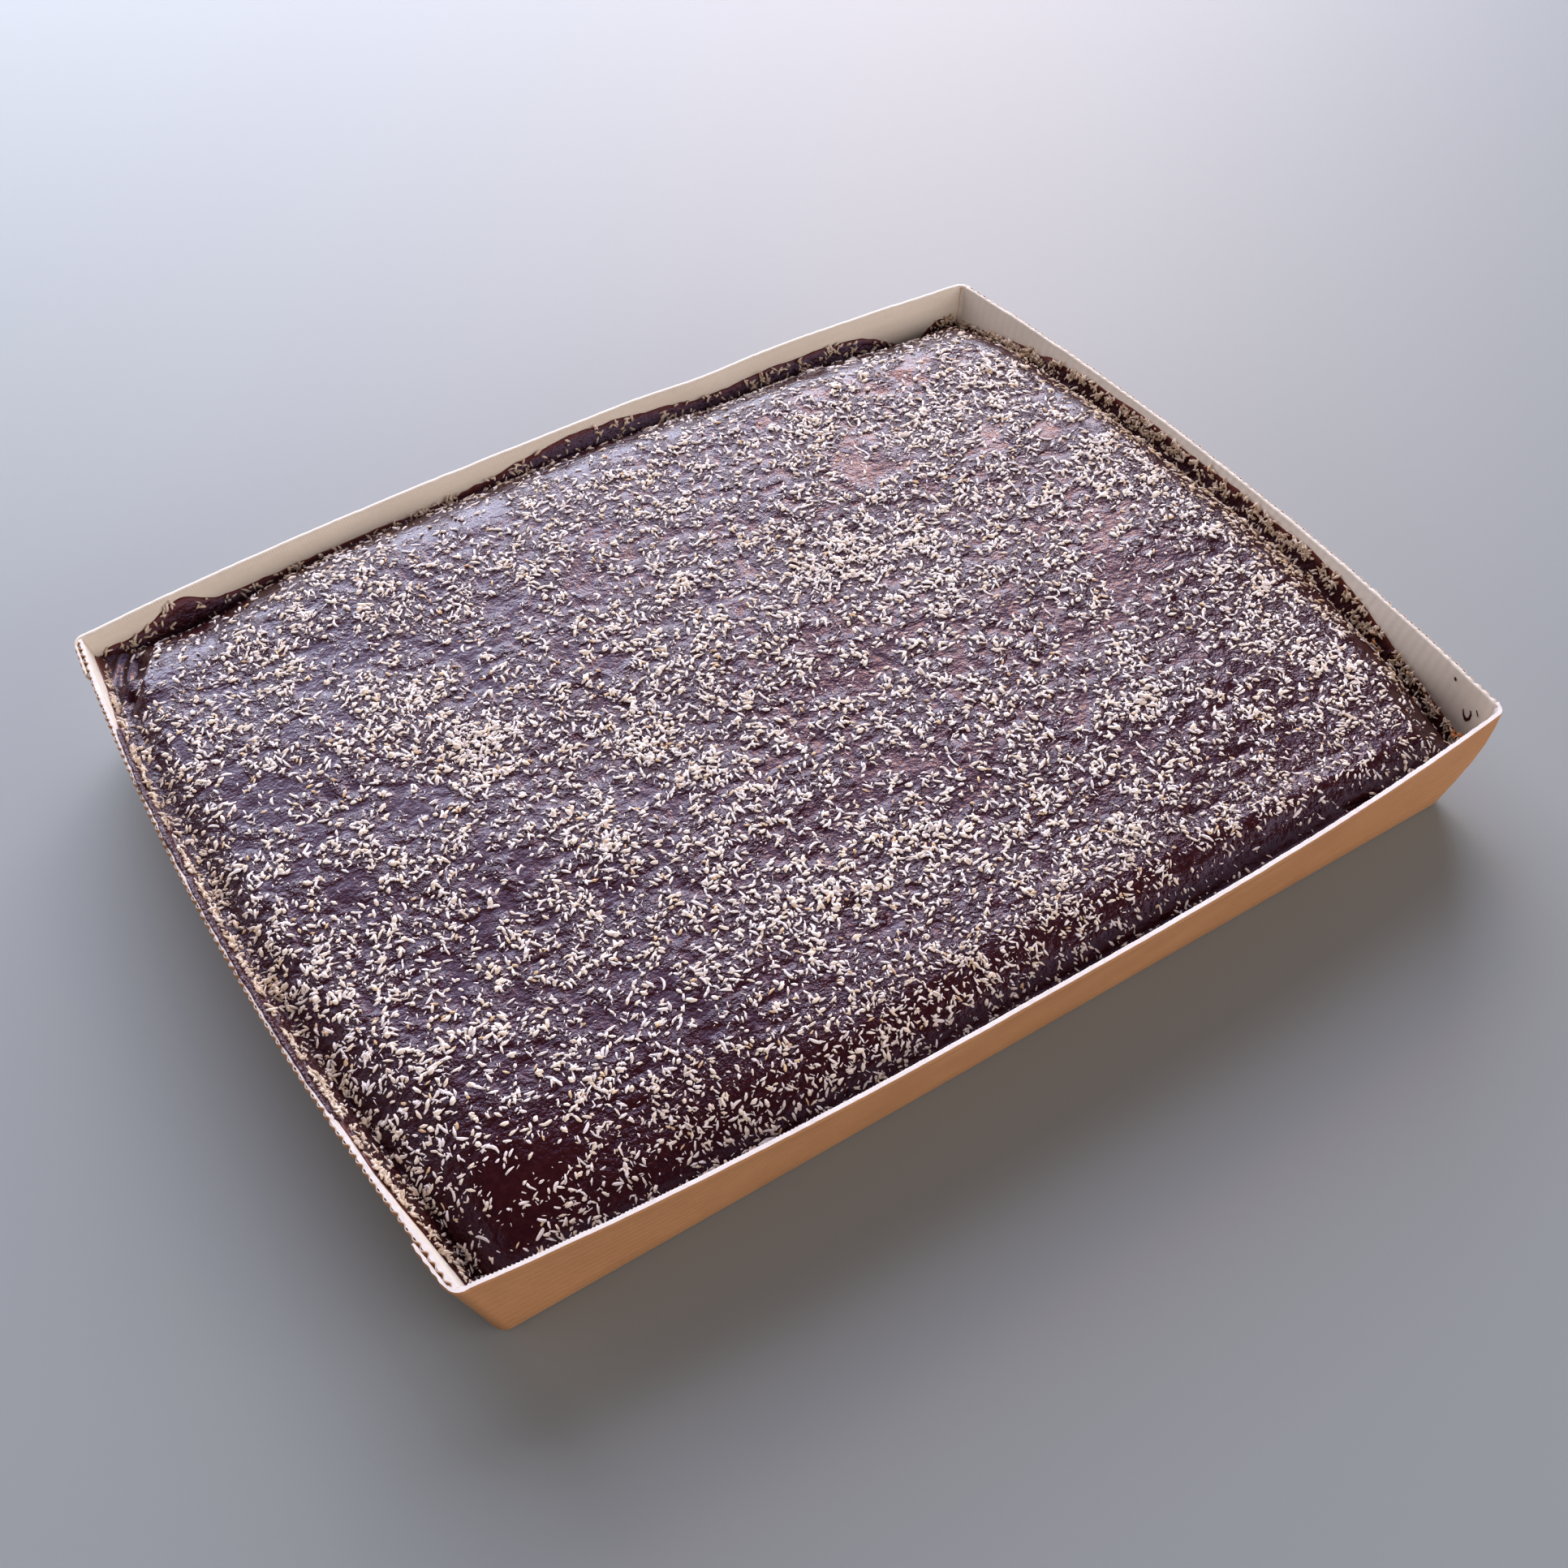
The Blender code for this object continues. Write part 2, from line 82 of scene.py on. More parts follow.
def hump(value, centre, width):
    """A smooth bump of height one."""
    return np.exp(-((value - centre) / width) ** 2)


def ramp(value, start, end, power):
    """Nought before start, one at end, and steeper towards end."""
    return np.clip((value - start) / (end - start), 0.0, 1.0) ** power


def smooth_ramp(value, start, end):
    """Nought at start, one at end, and level at both."""
    share = np.clip((value - start) / (end - start), 0.0, 1.0)
    return share * share * (3.0 - 2.0 * share)


def half_length(z):
    """Half the tray's length between the straight flaps at height z."""
    return (BASE_LENGTH + (RIM_LENGTH - BASE_LENGTH) * z / TRAY_HEIGHT) / 2.0


def half_width(z):
    """Half the tray's width between the straight flaps at height z."""
    return (BASE_WIDTH + (RIM_WIDTH - BASE_WIDTH) * z / TRAY_HEIGHT) / 2.0


def short_wall(y, z, run):
    """Half length of the tray at a point of a short wall."""
    bow = SHORT_WALL_BOW * (1.0 - np.minimum(np.abs(y / run), 1.0) ** 2)
    return half_length(z) + bow * z / TRAY_HEIGHT


def long_wall(x, z, run, is_back):
    """Half width of the tray at a point of a long wall. The back one has a dent in its rim."""
    bow = LONG_WALL_BOW * (1.0 - np.minimum(np.abs(x / run), 1.0) ** LONG_BOW_POWER)
    dent = BACK_DENT * hump(x, BACK_DENT_AT, BACK_DENT_WIDTH) * is_back
    return half_width(z) + (bow - dent) * z / TRAY_HEIGHT


def corner_kick(y, z):
    """How far the front right corner pushes its wall out, most at half height."""
    return CORNER_KICK * np.sin(np.pi * z / TRAY_HEIGHT) * hump(y, -half_width(z), KICK_REACH)


print("at the rim the tray is", round(2 * float(short_wall(0, TRAY_HEIGHT, 1)), 4), "m long in the middle")

# %% [markdown]
# ## The frosting's form
#
# Frosting that is spread with a palette knife makes a slightly domed plateau. It rounds over the cake's
# shoulder, falls into a groove along each wall, and climbs the wall again where the knife wiped it off.
# The plain solid has these forms, so the same formulas come first here. The heights on the walls are
# what shows above the groove, wall by wall, with the wave that the knife left at one back corner.

# %% The frosting's height on each wall
# Waves along a wall as (height, place, reach), and falls towards its ends as (depth, start, end)
BACK_TOP = 31.0 * MM
BACK_WAVES = (
    (5.5 * MM, -133.0 * MM, 9.0 * MM),
    (4.6 * MM, 12.0 * MM, 34.0 * MM),
    (1.6 * MM, 95.0 * MM, 35.0 * MM),
    (-8.0 * MM, 139.0 * MM, 12.0 * MM),
    (-4.6 * MM, 168.0 * MM, 12.0 * MM),
)
RIGHT_TOP = 35.6 * MM
RIGHT_FRONT_FALL = (13.0 * MM, 52.0 * MM, 122.0 * MM)
RIGHT_BACK_FALL = (9.5 * MM, 60.0 * MM, 125.0 * MM)
LEFT_TOP = 37.0 * MM
LEFT_FRONT_FALL = (11.0 * MM, 92.0 * MM, 124.0 * MM)
LEFT_BACK_FALL = (8.5 * MM, 80.0 * MM, 130.0 * MM)
FRONT_TOP = 31.5 * MM
FRONT_FALL = (6.0 * MM, 125.0 * MM, 165.0 * MM)
END_FALL_POWER = 1.3


def waves(value, listed):
    """The sum of smooth bumps from a list of (height, place, reach)."""
    return sum(height * hump(value, place, reach) for height, place, reach in listed)


def end_fall(value, fall):
    """How far a line has fallen towards one end of its wall."""
    drop, start, end = fall
    return drop * ramp(value, start, end, END_FALL_POWER)


def wall_top(x, y):
    """Height that the frosting reaches on each wall."""
    return {
        "left": LEFT_TOP - end_fall(y, LEFT_BACK_FALL) - end_fall(-y, LEFT_FRONT_FALL),
        "right": RIGHT_TOP - end_fall(y, RIGHT_BACK_FALL) - end_fall(-y, RIGHT_FRONT_FALL),
        "front": FRONT_TOP - end_fall(np.abs(x), FRONT_FALL),
        "back": BACK_TOP + waves(x, BACK_WAVES),
    }


def in_mm(values):
    return {name: round(1000.0 * float(value), 1) for name, value in values.items()}


print("mid-wall, the frosting reaches, in mm:", in_mm(wall_top(0.0, 0.0)))

# %% The grooves along the walls
# A groove's slope along its wall is (amount, start, end)
BACK_GROOVE = 28.5 * MM
BACK_GROOVE_WAVES = ((-5.0 * MM, -132.0 * MM, 26.0 * MM), (-3.0 * MM, 135.0 * MM, 18.0 * MM))
BACK_GROOVE_SLOPE = (4.5 * MM, -20.0 * MM, 90.0 * MM)
BACK_GROOVE_LEAST = 2.0 * MM
LEFT_GROOVE = 4.6 * MM
LEFT_GROOVE_DEEPENS = (4.6 * MM, 0.0 * MM, 60.0 * MM)
RIGHT_GROOVE = 5.6 * MM
RIGHT_GROOVE_RISES = (4.4 * MM, 70.0 * MM, 112.0 * MM)
FRONT_GROOVE = 6.0 * MM
GROOVE_RIPPLE = 0.8 * MM
RIPPLE_LENGTH = 115.0 * MM


def slope(value, listed):
    """A smooth change of level from a list of (amount, start, end)."""
    amount, start, end = listed
    return amount * smooth_ramp(value, start, end)


def groove_height(x, y):
    """Height of the groove between the cake's shoulder and the frosting on each wall."""
    tops = wall_top(x, y)
    ripple_y = GROOVE_RIPPLE * np.sin(2.0 * np.pi * y / RIPPLE_LENGTH)
    ripple_x = GROOVE_RIPPLE * np.sin(2.0 * np.pi * x / RIPPLE_LENGTH)
    back = BACK_GROOVE + waves(x, BACK_GROOVE_WAVES) - slope(x, BACK_GROOVE_SLOPE)
    return {
        "left": tops["left"] - LEFT_GROOVE - slope(-y, LEFT_GROOVE_DEEPENS) - ripple_y,
        "right": tops["right"] - RIGHT_GROOVE + slope(y, RIGHT_GROOVE_RISES) - ripple_y,
        "front": tops["front"] - FRONT_GROOVE - ripple_x,
        "back": np.minimum(back, tops["back"] - BACK_GROOVE_LEAST),
    }


print("mid-wall, the grooves lie at, in mm:", in_mm(groove_height(0.0, 0.0)))

# %% The cake's shoulders
BACK_SHOULDER = 25.0 * MM
BACK_SHOULDER_WAVES = (
    (8.0 * MM, -140.0 * MM, 35.0 * MM),
    (6.0 * MM, 110.0 * MM, 45.0 * MM),
    (6.0 * MM, 152.0 * MM, 20.0 * MM),
)
RIGHT_SHOULDER = 17.0 * MM
RIGHT_SHOULDER_WAVES = (
    (11.0 * MM, 114.0 * MM, 18.0 * MM),
    (7.0 * MM, -122.0 * MM, 20.0 * MM),
    (-2.0 * MM, 24.0 * MM, 15.0 * MM),
    (3.0 * MM, -48.0 * MM, 22.0 * MM),
)
LEFT_SHOULDER = 13.0 * MM
LEFT_SHOULDER_WAVES = ((23.0 * MM, -112.0 * MM, 52.0 * MM),)
FRONT_SHOULDER = 18.0 * MM
FRONT_SHOULDER_AT_LEFT_END = (24.0 * MM, 50.0 * MM, 110.0 * MM)
FRONT_SHOULDER_NARROWS = (8.0 * MM, 60.0 * MM, 115.0 * MM)


def shoulder_width(x, y):
    """Distance from each wall over which the cake's shoulder falls away from the plateau."""
    front = FRONT_SHOULDER + slope(-x, FRONT_SHOULDER_AT_LEFT_END) - slope(x, FRONT_SHOULDER_NARROWS)
    return {
        "left": LEFT_SHOULDER + waves(y, LEFT_SHOULDER_WAVES),
        "right": RIGHT_SHOULDER + waves(y, RIGHT_SHOULDER_WAVES),
        "front": front,
        "back": BACK_SHOULDER + waves(x, BACK_SHOULDER_WAVES),
    }


print("mid-wall, the shoulders are, in mm:", in_mm(shoulder_width(0.0, 0.0)))

# %% The frosting's outline
GAUGE_HEIGHT = 33.0 * MM
FROSTING_INSET = WALL + 0.06 * MM


def reach_x(y, z):
    """Half length of the frosting at height z."""
    return short_wall(y, z, half_width(z)) - FROSTING_INSET


def reach_y(x, z, is_back):
    """Half width of the frosting at height z."""
    return long_wall(x, z, half_length(z), is_back) - FROSTING_INSET


def gaps_to_walls(x, y):
    """Distance from the frosting's edge at each wall."""
    half_x = reach_x(y, GAUGE_HEIGHT)
    return {
        "left": np.maximum(half_x + x, 0.0),
        "right": np.maximum(half_x - x, 0.0),
        "front": np.maximum(reach_y(x, GAUGE_HEIGHT, False) + y, 0.0),
        "back": np.maximum(reach_y(x, GAUGE_HEIGHT, True) - y, 0.0),
    }


def nearest_gap(x, y):
    """Distance from the frosting's edge at the nearest wall."""
    return np.minimum.reduce(list(gaps_to_walls(x, y).values()))


print("from the middle to the walls, in mm:", in_mm(gaps_to_walls(0.0, 0.0)))

# %% The plateau and the whole form
PLATEAU = 38.4 * MM
DOME = 1.6 * MM
DOME_REACH = (0.165, 0.130)
SWELL = 0.55 * MM
# Crossed swells as (rate along x, start, rate along y, start)
CROSSED_SWELLS = (47.0, 1.3, 39.0, -0.6)
# Slanted swells as (strength, rate along x, rate along y, start)
SLANTED_SWELLS = ((0.6, 83.0, -61.0, 2.0), (0.5, 29.0, 97.0, 0.0))
CORNER_FALL = 4.5 * MM
CORNER_FALL_AT = (152.0 * MM, -128.0 * MM)
CORNER_FALL_REACH = 50.0 * MM
LEDGE_HEIGHT = 1.1 * MM
LEDGE_RISE = (7.0 * MM, 11.0 * MM)
LEDGE_FALL = (19.0 * MM, 12.0 * MM)
LEDGE_AT = 92.0 * MM
LEDGE_REACH = 40.0 * MM
SHOULDER_BEND = 1.7
SHOULDER_ROUNDNESS = 0.75
SHOULDER_SHARE = {"left": 0.86, "right": 0.82, "front": 1.0, "back": 1.0}
RIDGE_WIDTH = {"left": 2.2 * MM, "right": 1.3 * MM, "front": 1.2 * MM, "back": 1.0 * MM}
RIDGE_POWER = 1.6
BLEND_POWER = 4


def plateau_height(x, y):
    """The spread top: a low dome with the broad swells that a palette knife leaves."""
    dome = DOME * ((x / DOME_REACH[0]) ** 2 + (y / DOME_REACH[1]) ** 2) / 2.0
    rate_x, start_x, rate_y, start_y = CROSSED_SWELLS
    swells = np.sin(x * rate_x + start_x) * np.cos(y * rate_y + start_y)
    for strength, rate_x, rate_y, start in SLANTED_SWELLS:
        swells = swells + strength * np.sin(x * rate_x + y * rate_y + start)
    away = np.hypot(x - CORNER_FALL_AT[0], y - CORNER_FALL_AT[1])
    return PLATEAU - dome + SWELL * swells - CORNER_FALL * hump(away, 0.0, CORNER_FALL_REACH)


def spread_height(x, y, edge_waves):
    """Height of the frosting's main form. edge_waves lifts or lowers its line on the walls."""
    gaps = gaps_to_walls(x, y)
    tops = wall_top(x, y)
    grooves = groove_height(x, y)
    shoulders = shoulder_width(x, y)
    plateau = plateau_height(x, y)
    falls = 0.0
    climbs = 0.0
    for wall, gap in gaps.items():
        reach = np.clip((1.0 - gap / shoulders[wall]) / SHOULDER_SHARE[wall], 0.0, 1.0)
        bend = 1.0 - (1.0 - reach ** SHOULDER_BEND) ** SHOULDER_ROUNDNESS
        falls = falls + (np.maximum(plateau - grooves[wall], 0.0) * bend) ** BLEND_POWER
        climb = np.maximum(tops[wall] + edge_waves - grooves[wall], 0.0)
        climbs = climbs + (climb * np.exp(-(gap / RIDGE_WIDTH[wall]) ** RIDGE_POWER)) ** BLEND_POWER
    height = plateau - falls ** (1.0 / BLEND_POWER) + climbs ** (1.0 / BLEND_POWER)
    ledge = smooth_ramp(gaps["front"], *LEDGE_RISE) * smooth_ramp(gaps["front"], *LEDGE_FALL)
    return height + LEDGE_HEIGHT * ledge * hump(x, LEDGE_AT, LEDGE_REACH)


print("the plateau lies at", round(1000 * float(spread_height(0.0, 0.0, 0.0)), 1), "mm")

# %% [markdown]
# ## The knife's marks
#
# Up close the frosting is not smooth. The knife leaves shallow lumps and drag marks, a few pits, a fold
# where a thick lap of frosting stops short of the front wall, and a small glossy pool in the back left
# corner with the folds of the last pour. Each is a formula too: soft noise for what has no name, and a
# short list of places for what stands out. Random hills come from a seeded table that is read with smooth
# blending, so that every run gives the same cake.

# %% Soft noise
NOISE_TABLE = 257
NOISE_SHIFT = (1000.37, 1000.61)


def soft_noise(x, y, size, seed):
    """Smooth random hills of the given size, between about -1 and 1."""
    table = np.random.default_rng(seed).uniform(-1.0, 1.0, (NOISE_TABLE, NOISE_TABLE))
    across = np.asarray(x) / size + NOISE_SHIFT[0]
    along = np.asarray(y) / size + NOISE_SHIFT[1]
    column = np.floor(across).astype(int)
    row = np.floor(along).astype(int)
    s = across - column
    t = along - row
    s = s * s * (3.0 - 2.0 * s)
    t = t * t * (3.0 - 2.0 * t)
    left = column % NOISE_TABLE
    right = (column + 1) % NOISE_TABLE
    low = row % NOISE_TABLE
    high = (row + 1) % NOISE_TABLE
    near = table[low, left] * (1.0 - s) + table[low, right] * s
    far = table[high, left] * (1.0 - s) + table[high, right] * s
    return near * (1.0 - t) + far * t


def hills(x, y, listed):
    """Soft noise in several sizes, from a list of (size, height, seed)."""
    return sum(high * soft_noise(x, y, size, seed) for size, high, seed in listed)


print("a sample of the noise:", round(float(soft_noise(0.0, 0.0, 9.0 * MM, 21)), 3))

# %% Relief on the frosting
# Pits as (x, y, radius, depth) and creases as (start x, start y, end x, end y, width, depth), in mm
PITS = (
    (-27, -86, 1.8, 1.3), (-74, -110, 3.2, 0.8), (-67, -114, 2.6, 0.8), (67, -112, 2.8, 0.9),
    (75, -118, 3.0, 0.6), (-27, 23, 2.4, 0.9), (-41, 12, 1.8, 0.7), (6, 55, 2.2, 0.6),
    (-118, -44, 2.6, 0.6), (30, -52, 2.4, 0.7), (-8, -40, 2.6, 0.6), (92, -100, 3.0, 0.6),
    (-30, -95, 2.6, 0.6), (-96, -6, 2.4, 0.6), (56, 72, 2.4, 0.6), (100, -84, 2.0, 0.6),
)
CREASES = (
    (-150.0, 114.5, -163.5, 92.5, 1.6, 2.4),
    (106.0, -128.6, 131.0, -131.4, 0.8, 1.6),
    (44.0, -121.6, 78.0, -124.2, 0.7, 0.4),
    (-30.0, 36.0, 18.0, 33.0, 2.4, 0.35),
    (-58.0, 28.0, -26.0, 21.0, 2.6, 0.4),
    (58.0, -106.0, 74.0, -112.0, 1.2, 0.7),
)
POOL_AT = (-159.5 * MM, 118.5 * MM)
POOL_REACH = 12.5 * MM
POOL_CORE = 0.55
POOL_CALM = 0.8
POOL_HEIGHT = 29.6 * MM
POOL_RIM = (3.0 * MM, 1.4 * MM)
POOL_CREASE_AT = (-150.0 * MM, 114.5 * MM)
POOL_ASIDE = (-0.852, 0.523)
POOL_WANDER = (1.1 * MM, 6.0 * MM)
POOL_FOLD = 0.45 * MM
POOL_FOLD_LENGTH = 4.2 * MM
# Noise as (size, height, seed): the frosting's line on the walls, and the lumps on top
EDGE_WAVES = ((7.0 * MM, 0.5 * MM, 31), (2.6 * MM, 0.25 * MM, 32))
LUMPS = ((9.0 * MM, 0.20 * MM, 21), (4.6 * MM, 0.14 * MM, 22), (2.3 * MM, 0.08 * MM, 23))
DRAG_SIZE = (26.0 * MM, 5.0 * MM)
DRAG_HEIGHT = 0.12 * MM
DRAG_SLANT = (0.3, 0.2)
DRAG_PATCHES = (-0.2, 0.5)
SMOOTH_EDGE = (1.5 * MM, 6.0 * MM)


def distance_to_line(x, y, start_x, start_y, end_x, end_y):
    """Distance to a stretch of line, and how far along it the nearest point lies, from 0 to 1."""
    run_x, run_y = end_x - start_x, end_y - start_y
    along = ((x - start_x) * run_x + (y - start_y) * run_y) / (run_x ** 2 + run_y ** 2)
    along = np.clip(along, 0.0, 1.0)
    return np.hypot(x - start_x - along * run_x, y - start_y - along * run_y), along


def pool_share(x, y):
    """One in the corner pool, nought away from it."""
    return smooth_ramp(np.hypot(x - POOL_AT[0], y - POOL_AT[1]), POOL_REACH, POOL_CORE * POOL_REACH)


def pool_folds(x, y):
    """The folds that lie side by side in the pool, along its long crease."""
    aside = POOL_ASIDE[0] * (x - POOL_CREASE_AT[0]) + POOL_ASIDE[1] * (y - POOL_CREASE_AT[1])
    aside = aside + POOL_WANDER[0] * soft_noise(x, y, POOL_WANDER[1], 27)
    near = smooth_ramp(aside, -1.0 * MM, 1.0 * MM) * smooth_ramp(aside, 13.0 * MM, 8.0 * MM)
    return POOL_FOLD * np.sin(2.0 * np.pi * aside / POOL_FOLD_LENGTH) * near


def pits_and_creases(x, y):
    """How far the pits and creases sink the surface."""
    sunk = 0.0
    for pit_x, pit_y, radius, depth in PITS:
        away = np.hypot(x - pit_x * MM, y - pit_y * MM) / (radius * MM)
        sunk = sunk + depth * MM * np.exp(-away ** 2)
    wander = 1.0 + 0.3 * soft_noise(x, y, 3.0 * MM, 26)
    for start_x, start_y, end_x, end_y, width, depth in CREASES:
        away, along = distance_to_line(x, y, start_x * MM, start_y * MM, end_x * MM, end_y * MM)
        fade = np.sqrt(np.clip(4.0 * along * (1.0 - along), 0.0, 1.0)) * 0.9 + 0.1
        sunk = sunk + depth * MM * fade * np.exp(-(away / (width * MM)) ** 2) * wander
    return sunk


def frosting_height(x, y):
    """Height of the frosting with all its marks."""
    x = np.asarray(x, dtype=float)
    y = np.asarray(y, dtype=float)
    height = spread_height(x, y, hills(x, y, EDGE_WAVES))
    gap = nearest_gap(x, y)
    share = pool_share(x, y)
    level = POOL_HEIGHT + pool_folds(x, y) + POOL_RIM[0] * np.exp(-gap / POOL_RIM[1])
    height = height * (1.0 - share) + level * share
    drags = DRAG_HEIGHT * soft_noise(x + DRAG_SLANT[0] * y, y - DRAG_SLANT[1] * x, DRAG_SIZE[1], 24)
    drags = drags * smooth_ramp(soft_noise(x, y, DRAG_SIZE[0], 25), *DRAG_PATCHES)
    roughness = (hills(x, y, LUMPS) + drags) * smooth_ramp(gap, *SMOOTH_EDGE)
    return height + roughness * (1.0 - POOL_CALM * share) - pits_and_creases(x, y)


print("pits and creases take", len(PITS) + len(CREASES), "places")

# %% [markdown]
# ## Where the coconut lies
#
# Coconut that is thrown by hand lands in drifts: thick where a handful fell, thin near the edges, and
# bare where the frosting was touched up afterwards. A density says how many shreds a square millimetre
# takes at each place. It is a base value, times soft noise, plus a list of drifts, less a list of thin
# places. It comes before the frosting's mesh, because falling coconut roughens the surface where it lands.

# %% Density of the coconut
# Drifts and thin places as (x, y, reach along x, reach along y, amount), in mm
DRIFTS = (
    (-44, -4, 7, 9, 1.3), (-36, -22, 7, 9, 1.0), (-86, 25, 12, 9, 1.1), (-98, 45, 14, 12, 0.6),
    (-72, 18, 14, 12, 0.45), (38, 35, 12, 10, 1.0), (48, 24, 14, 9, 0.4), (-34, -81, 11, 7, 0.9),
    (-54, -76, 13, 7, 0.35), (2, -77, 10, 7, 0.7), (37, -74, 9, 9, 0.7), (78, -72, 15, 6, 0.5),
    (92, -52, 12, 8, 0.5), (140, 82, 12, 9, 0.8), (136, -64, 9, 12, 0.5), (110, 68, 13, 12, 0.6),
    (-7, 47, 16, 5, 0.6), (-70, -30, 11, 12, 0.35), (146, -14, 7, 13, 0.5), (148, 18, 7, 18, 0.5),
    (144, 52, 8, 20, 0.4), (-38, -107, 16, 8, 0.3), (54, -103, 14, 6, 0.4), (-114, -100, 12, 6, 0.4),
    (-92, -108, 14, 8, 0.3), (-126, 95, 13, 6, 0.45), (-82, 92, 11, 10, 0.3), (-14, 98, 7, 13, 0.35),
    (-38, 90, 9, 9, 0.3), (72, 17, 16, 12, 0.3), (138, -78, 10, 22, 0.45), (142, -104, 9, 12, 0.3),
    (-112, -10, 22, 8, 0.25), (-90, -62, 16, 8, 0.25), (18, -35, 8, 12, 0.2), (-12, 18, 14, 10, 0.15),
    (96, 40, 18, 22, 0.2), (164, 40, 7, 50, 0.5), (163, -55, 7, 45, 0.5), (-166, 45, 3, 45, 0.6),
    (-163, -60, 4, 50, 0.5), (-146, -72, 12, 24, 0.45), (10, -115, 34, 11, 0.6), (-52, -121, 30, 9, 0.7),
    (-90, -120, 20, 8, 0.4), (62, -113, 22, 8, 0.4), (104, -112, 16, 8, 0.3),
)
THIN_PLACES = (
    (114, -20, 12, 19, 0.75), (109, -66, 8, 19, 0.7), (-138, -112, 18, 11, 0.5), (-156, -70, 5, 16, 0.35),
    (-158, 117, 15, 14, 0.92), (-40, 117, 22, 8, 0.6), (8, 122, 34, 8, 0.4), (-146, 38, 8, 17, 0.55),
    (-52, 70, 15, 13, 0.35), (76, 68, 17, 14, 0.45), (8, -14, 13, 20, 0.35), (0, -55, 22, 11, 0.3),
    (-6, -106, 26, 13, 0.15), (-118, -66, 14, 8, 0.25), (90, -128, 50, 4, 0.7),
    (-120, 124, 30, 8, 0.75), (152, -116, 10, 14, 0.7), (60, 119, 50, 7, 0.45), (60, -62, 12, 8, 0.3),
    (-150, 98, 9, 14, 0.5), (-60, -52, 18, 9, 0.3), (-62, -112, 13, 10, 0.15), (34, 62, 14, 9, 0.25),
    (154, 121, 14, 10, 0.8), (154, 70, 4, 34, 0.45), (-158, 78, 8, 20, 0.4),
    (118, 100, 10, 6, 0.85), (137, 45, 7, 7, 0.85), (70, -20, 16, 12, 0.25),
    (-20, 68, 20, 10, 0.25), (-100, 70, 12, 10, 0.25), (-20, -30, 14, 8, 0.25),
)
BASE_DENSITY = 0.50
PATCH_SIZE = 11.0 * MM
SPECK_SIZE = 3.4 * MM
EDGE_CLEAR = {"left": 1.2 * MM, "right": 1.0 * MM, "front": 2.6 * MM, "back": 4.5 * MM}
EDGE_LEAST = 0.08


def oval_distance(x, y, place_x, place_y, reach_along_x, reach_along_y):
    """Squared distance from a place that is given in mm, as a share of its reach."""
    return ((x / MM - place_x) / reach_along_x) ** 2 + ((y / MM - place_y) / reach_along_y) ** 2


def coconut_density(x, y):
    """Share of the densest cover, from 0 to about 1.6."""
    patches = 0.5 + 0.5 * soft_noise(x, y, PATCH_SIZE, 51)
    specks = 0.5 + 0.5 * soft_noise(x, y, SPECK_SIZE, 52)
    density = BASE_DENSITY * (0.35 + 1.3 * patches) * (0.2 + 2.1 * specks ** 1.5)
    for *oval, amount in DRIFTS:
        density = density + amount * np.exp(-oval_distance(x, y, *oval)) * (0.5 + specks)
    for *oval, amount in THIN_PLACES:
        density = density * (1.0 - amount * np.exp(-oval_distance(x, y, *oval) ** 1.5))
    for wall, gap in gaps_to_walls(x, y).items():
        density = density * (EDGE_LEAST + (1.0 - EDGE_LEAST) * smooth_ramp(gap, 0.2 * MM, EDGE_CLEAR[wall]))
    return density


print("cover in the middle:", round(float(coconut_density(0.0, 0.0)), 2))

# %% [markdown]
# ## One class for shader sums
#
# A finish is mostly sums: take a noise, stretch it, mask it, take it away from one. Written node by
# node that fills pages, so one small class stands for a socket and turns Python's operators into Math
# nodes. `node` makes any other node, and `mix` blends two colours, which a Math node can't.

# %% Sockets with arithmetic
class Wire:
    """A socket of a material's node tree, or with no socket the tree itself."""

    def __init__(self, tree, socket=None):
        self.tree = tree
        self.socket = socket

    def node(self, kind, settings=None, sockets=None, output=0):
        """Any node: its type, its settings, and the values or links of its sockets."""
        made = self.tree.nodes.new("ShaderNode" + kind)
        for name, value in (settings or {}).items():
            setattr(made, name, value)
        for key, value in (sockets or {}).items():
            if isinstance(value, Wire):
                self.tree.links.new(value.socket, made.inputs[key])
            else:
                made.inputs[key].default_value = value
        return Wire(self.tree, made.outputs[output])

    def math(self, operation, first, second=0.0):
        return self.node("Math", {"operation": operation}, {0: first, 1: second})

    def __add__(self, other):
        return self.math("ADD", self, other)

    def __radd__(self, other):
        return self.math("ADD", other, self)

    def __sub__(self, other):
        return self.math("SUBTRACT", self, other)

    def __rsub__(self, other):
        return self.math("SUBTRACT", other, self)

    def __mul__(self, other):
        return self.math("MULTIPLY", self, other)

    def __rmul__(self, other):
        return self.math("MULTIPLY", other, self)

    def clamp(self):
        return self.node("Clamp", {}, {"Value": self})

    def step(self, low, high):
        """Nought below low and one above high, with a smooth rise between them."""
        sockets = {"Value": self, "From Min": low, "From Max": high}
        return self.node("MapRange", {"interpolation_type": "SMOOTHSTEP"}, sockets)

    def mix(self, first, second):
        """first where this wire is nought, second where it is one, for colours."""
        return self.node("Mix", {"data_type": "RGBA"}, {0: self, 6: first, 7: second}, 2)

    def noise(self, where, scale, detail=3.0, roughness=0.55):
        sockets = {"Vector": where, "Scale": scale, "Detail": detail, "Roughness": roughness}
        return self.node("TexNoise", {}, sockets)

    def stretch(self, where, scale):
        return self.node("Mapping", {}, {"Vector": where, "Scale": scale})

    def bump(self, height, distance, strength=1.0, under=None):
        sockets = {"Height": height, "Distance": distance, "Strength": strength}
        if under is not None:
            sockets["Normal"] = under
        return self.node("Bump", {}, sockets)


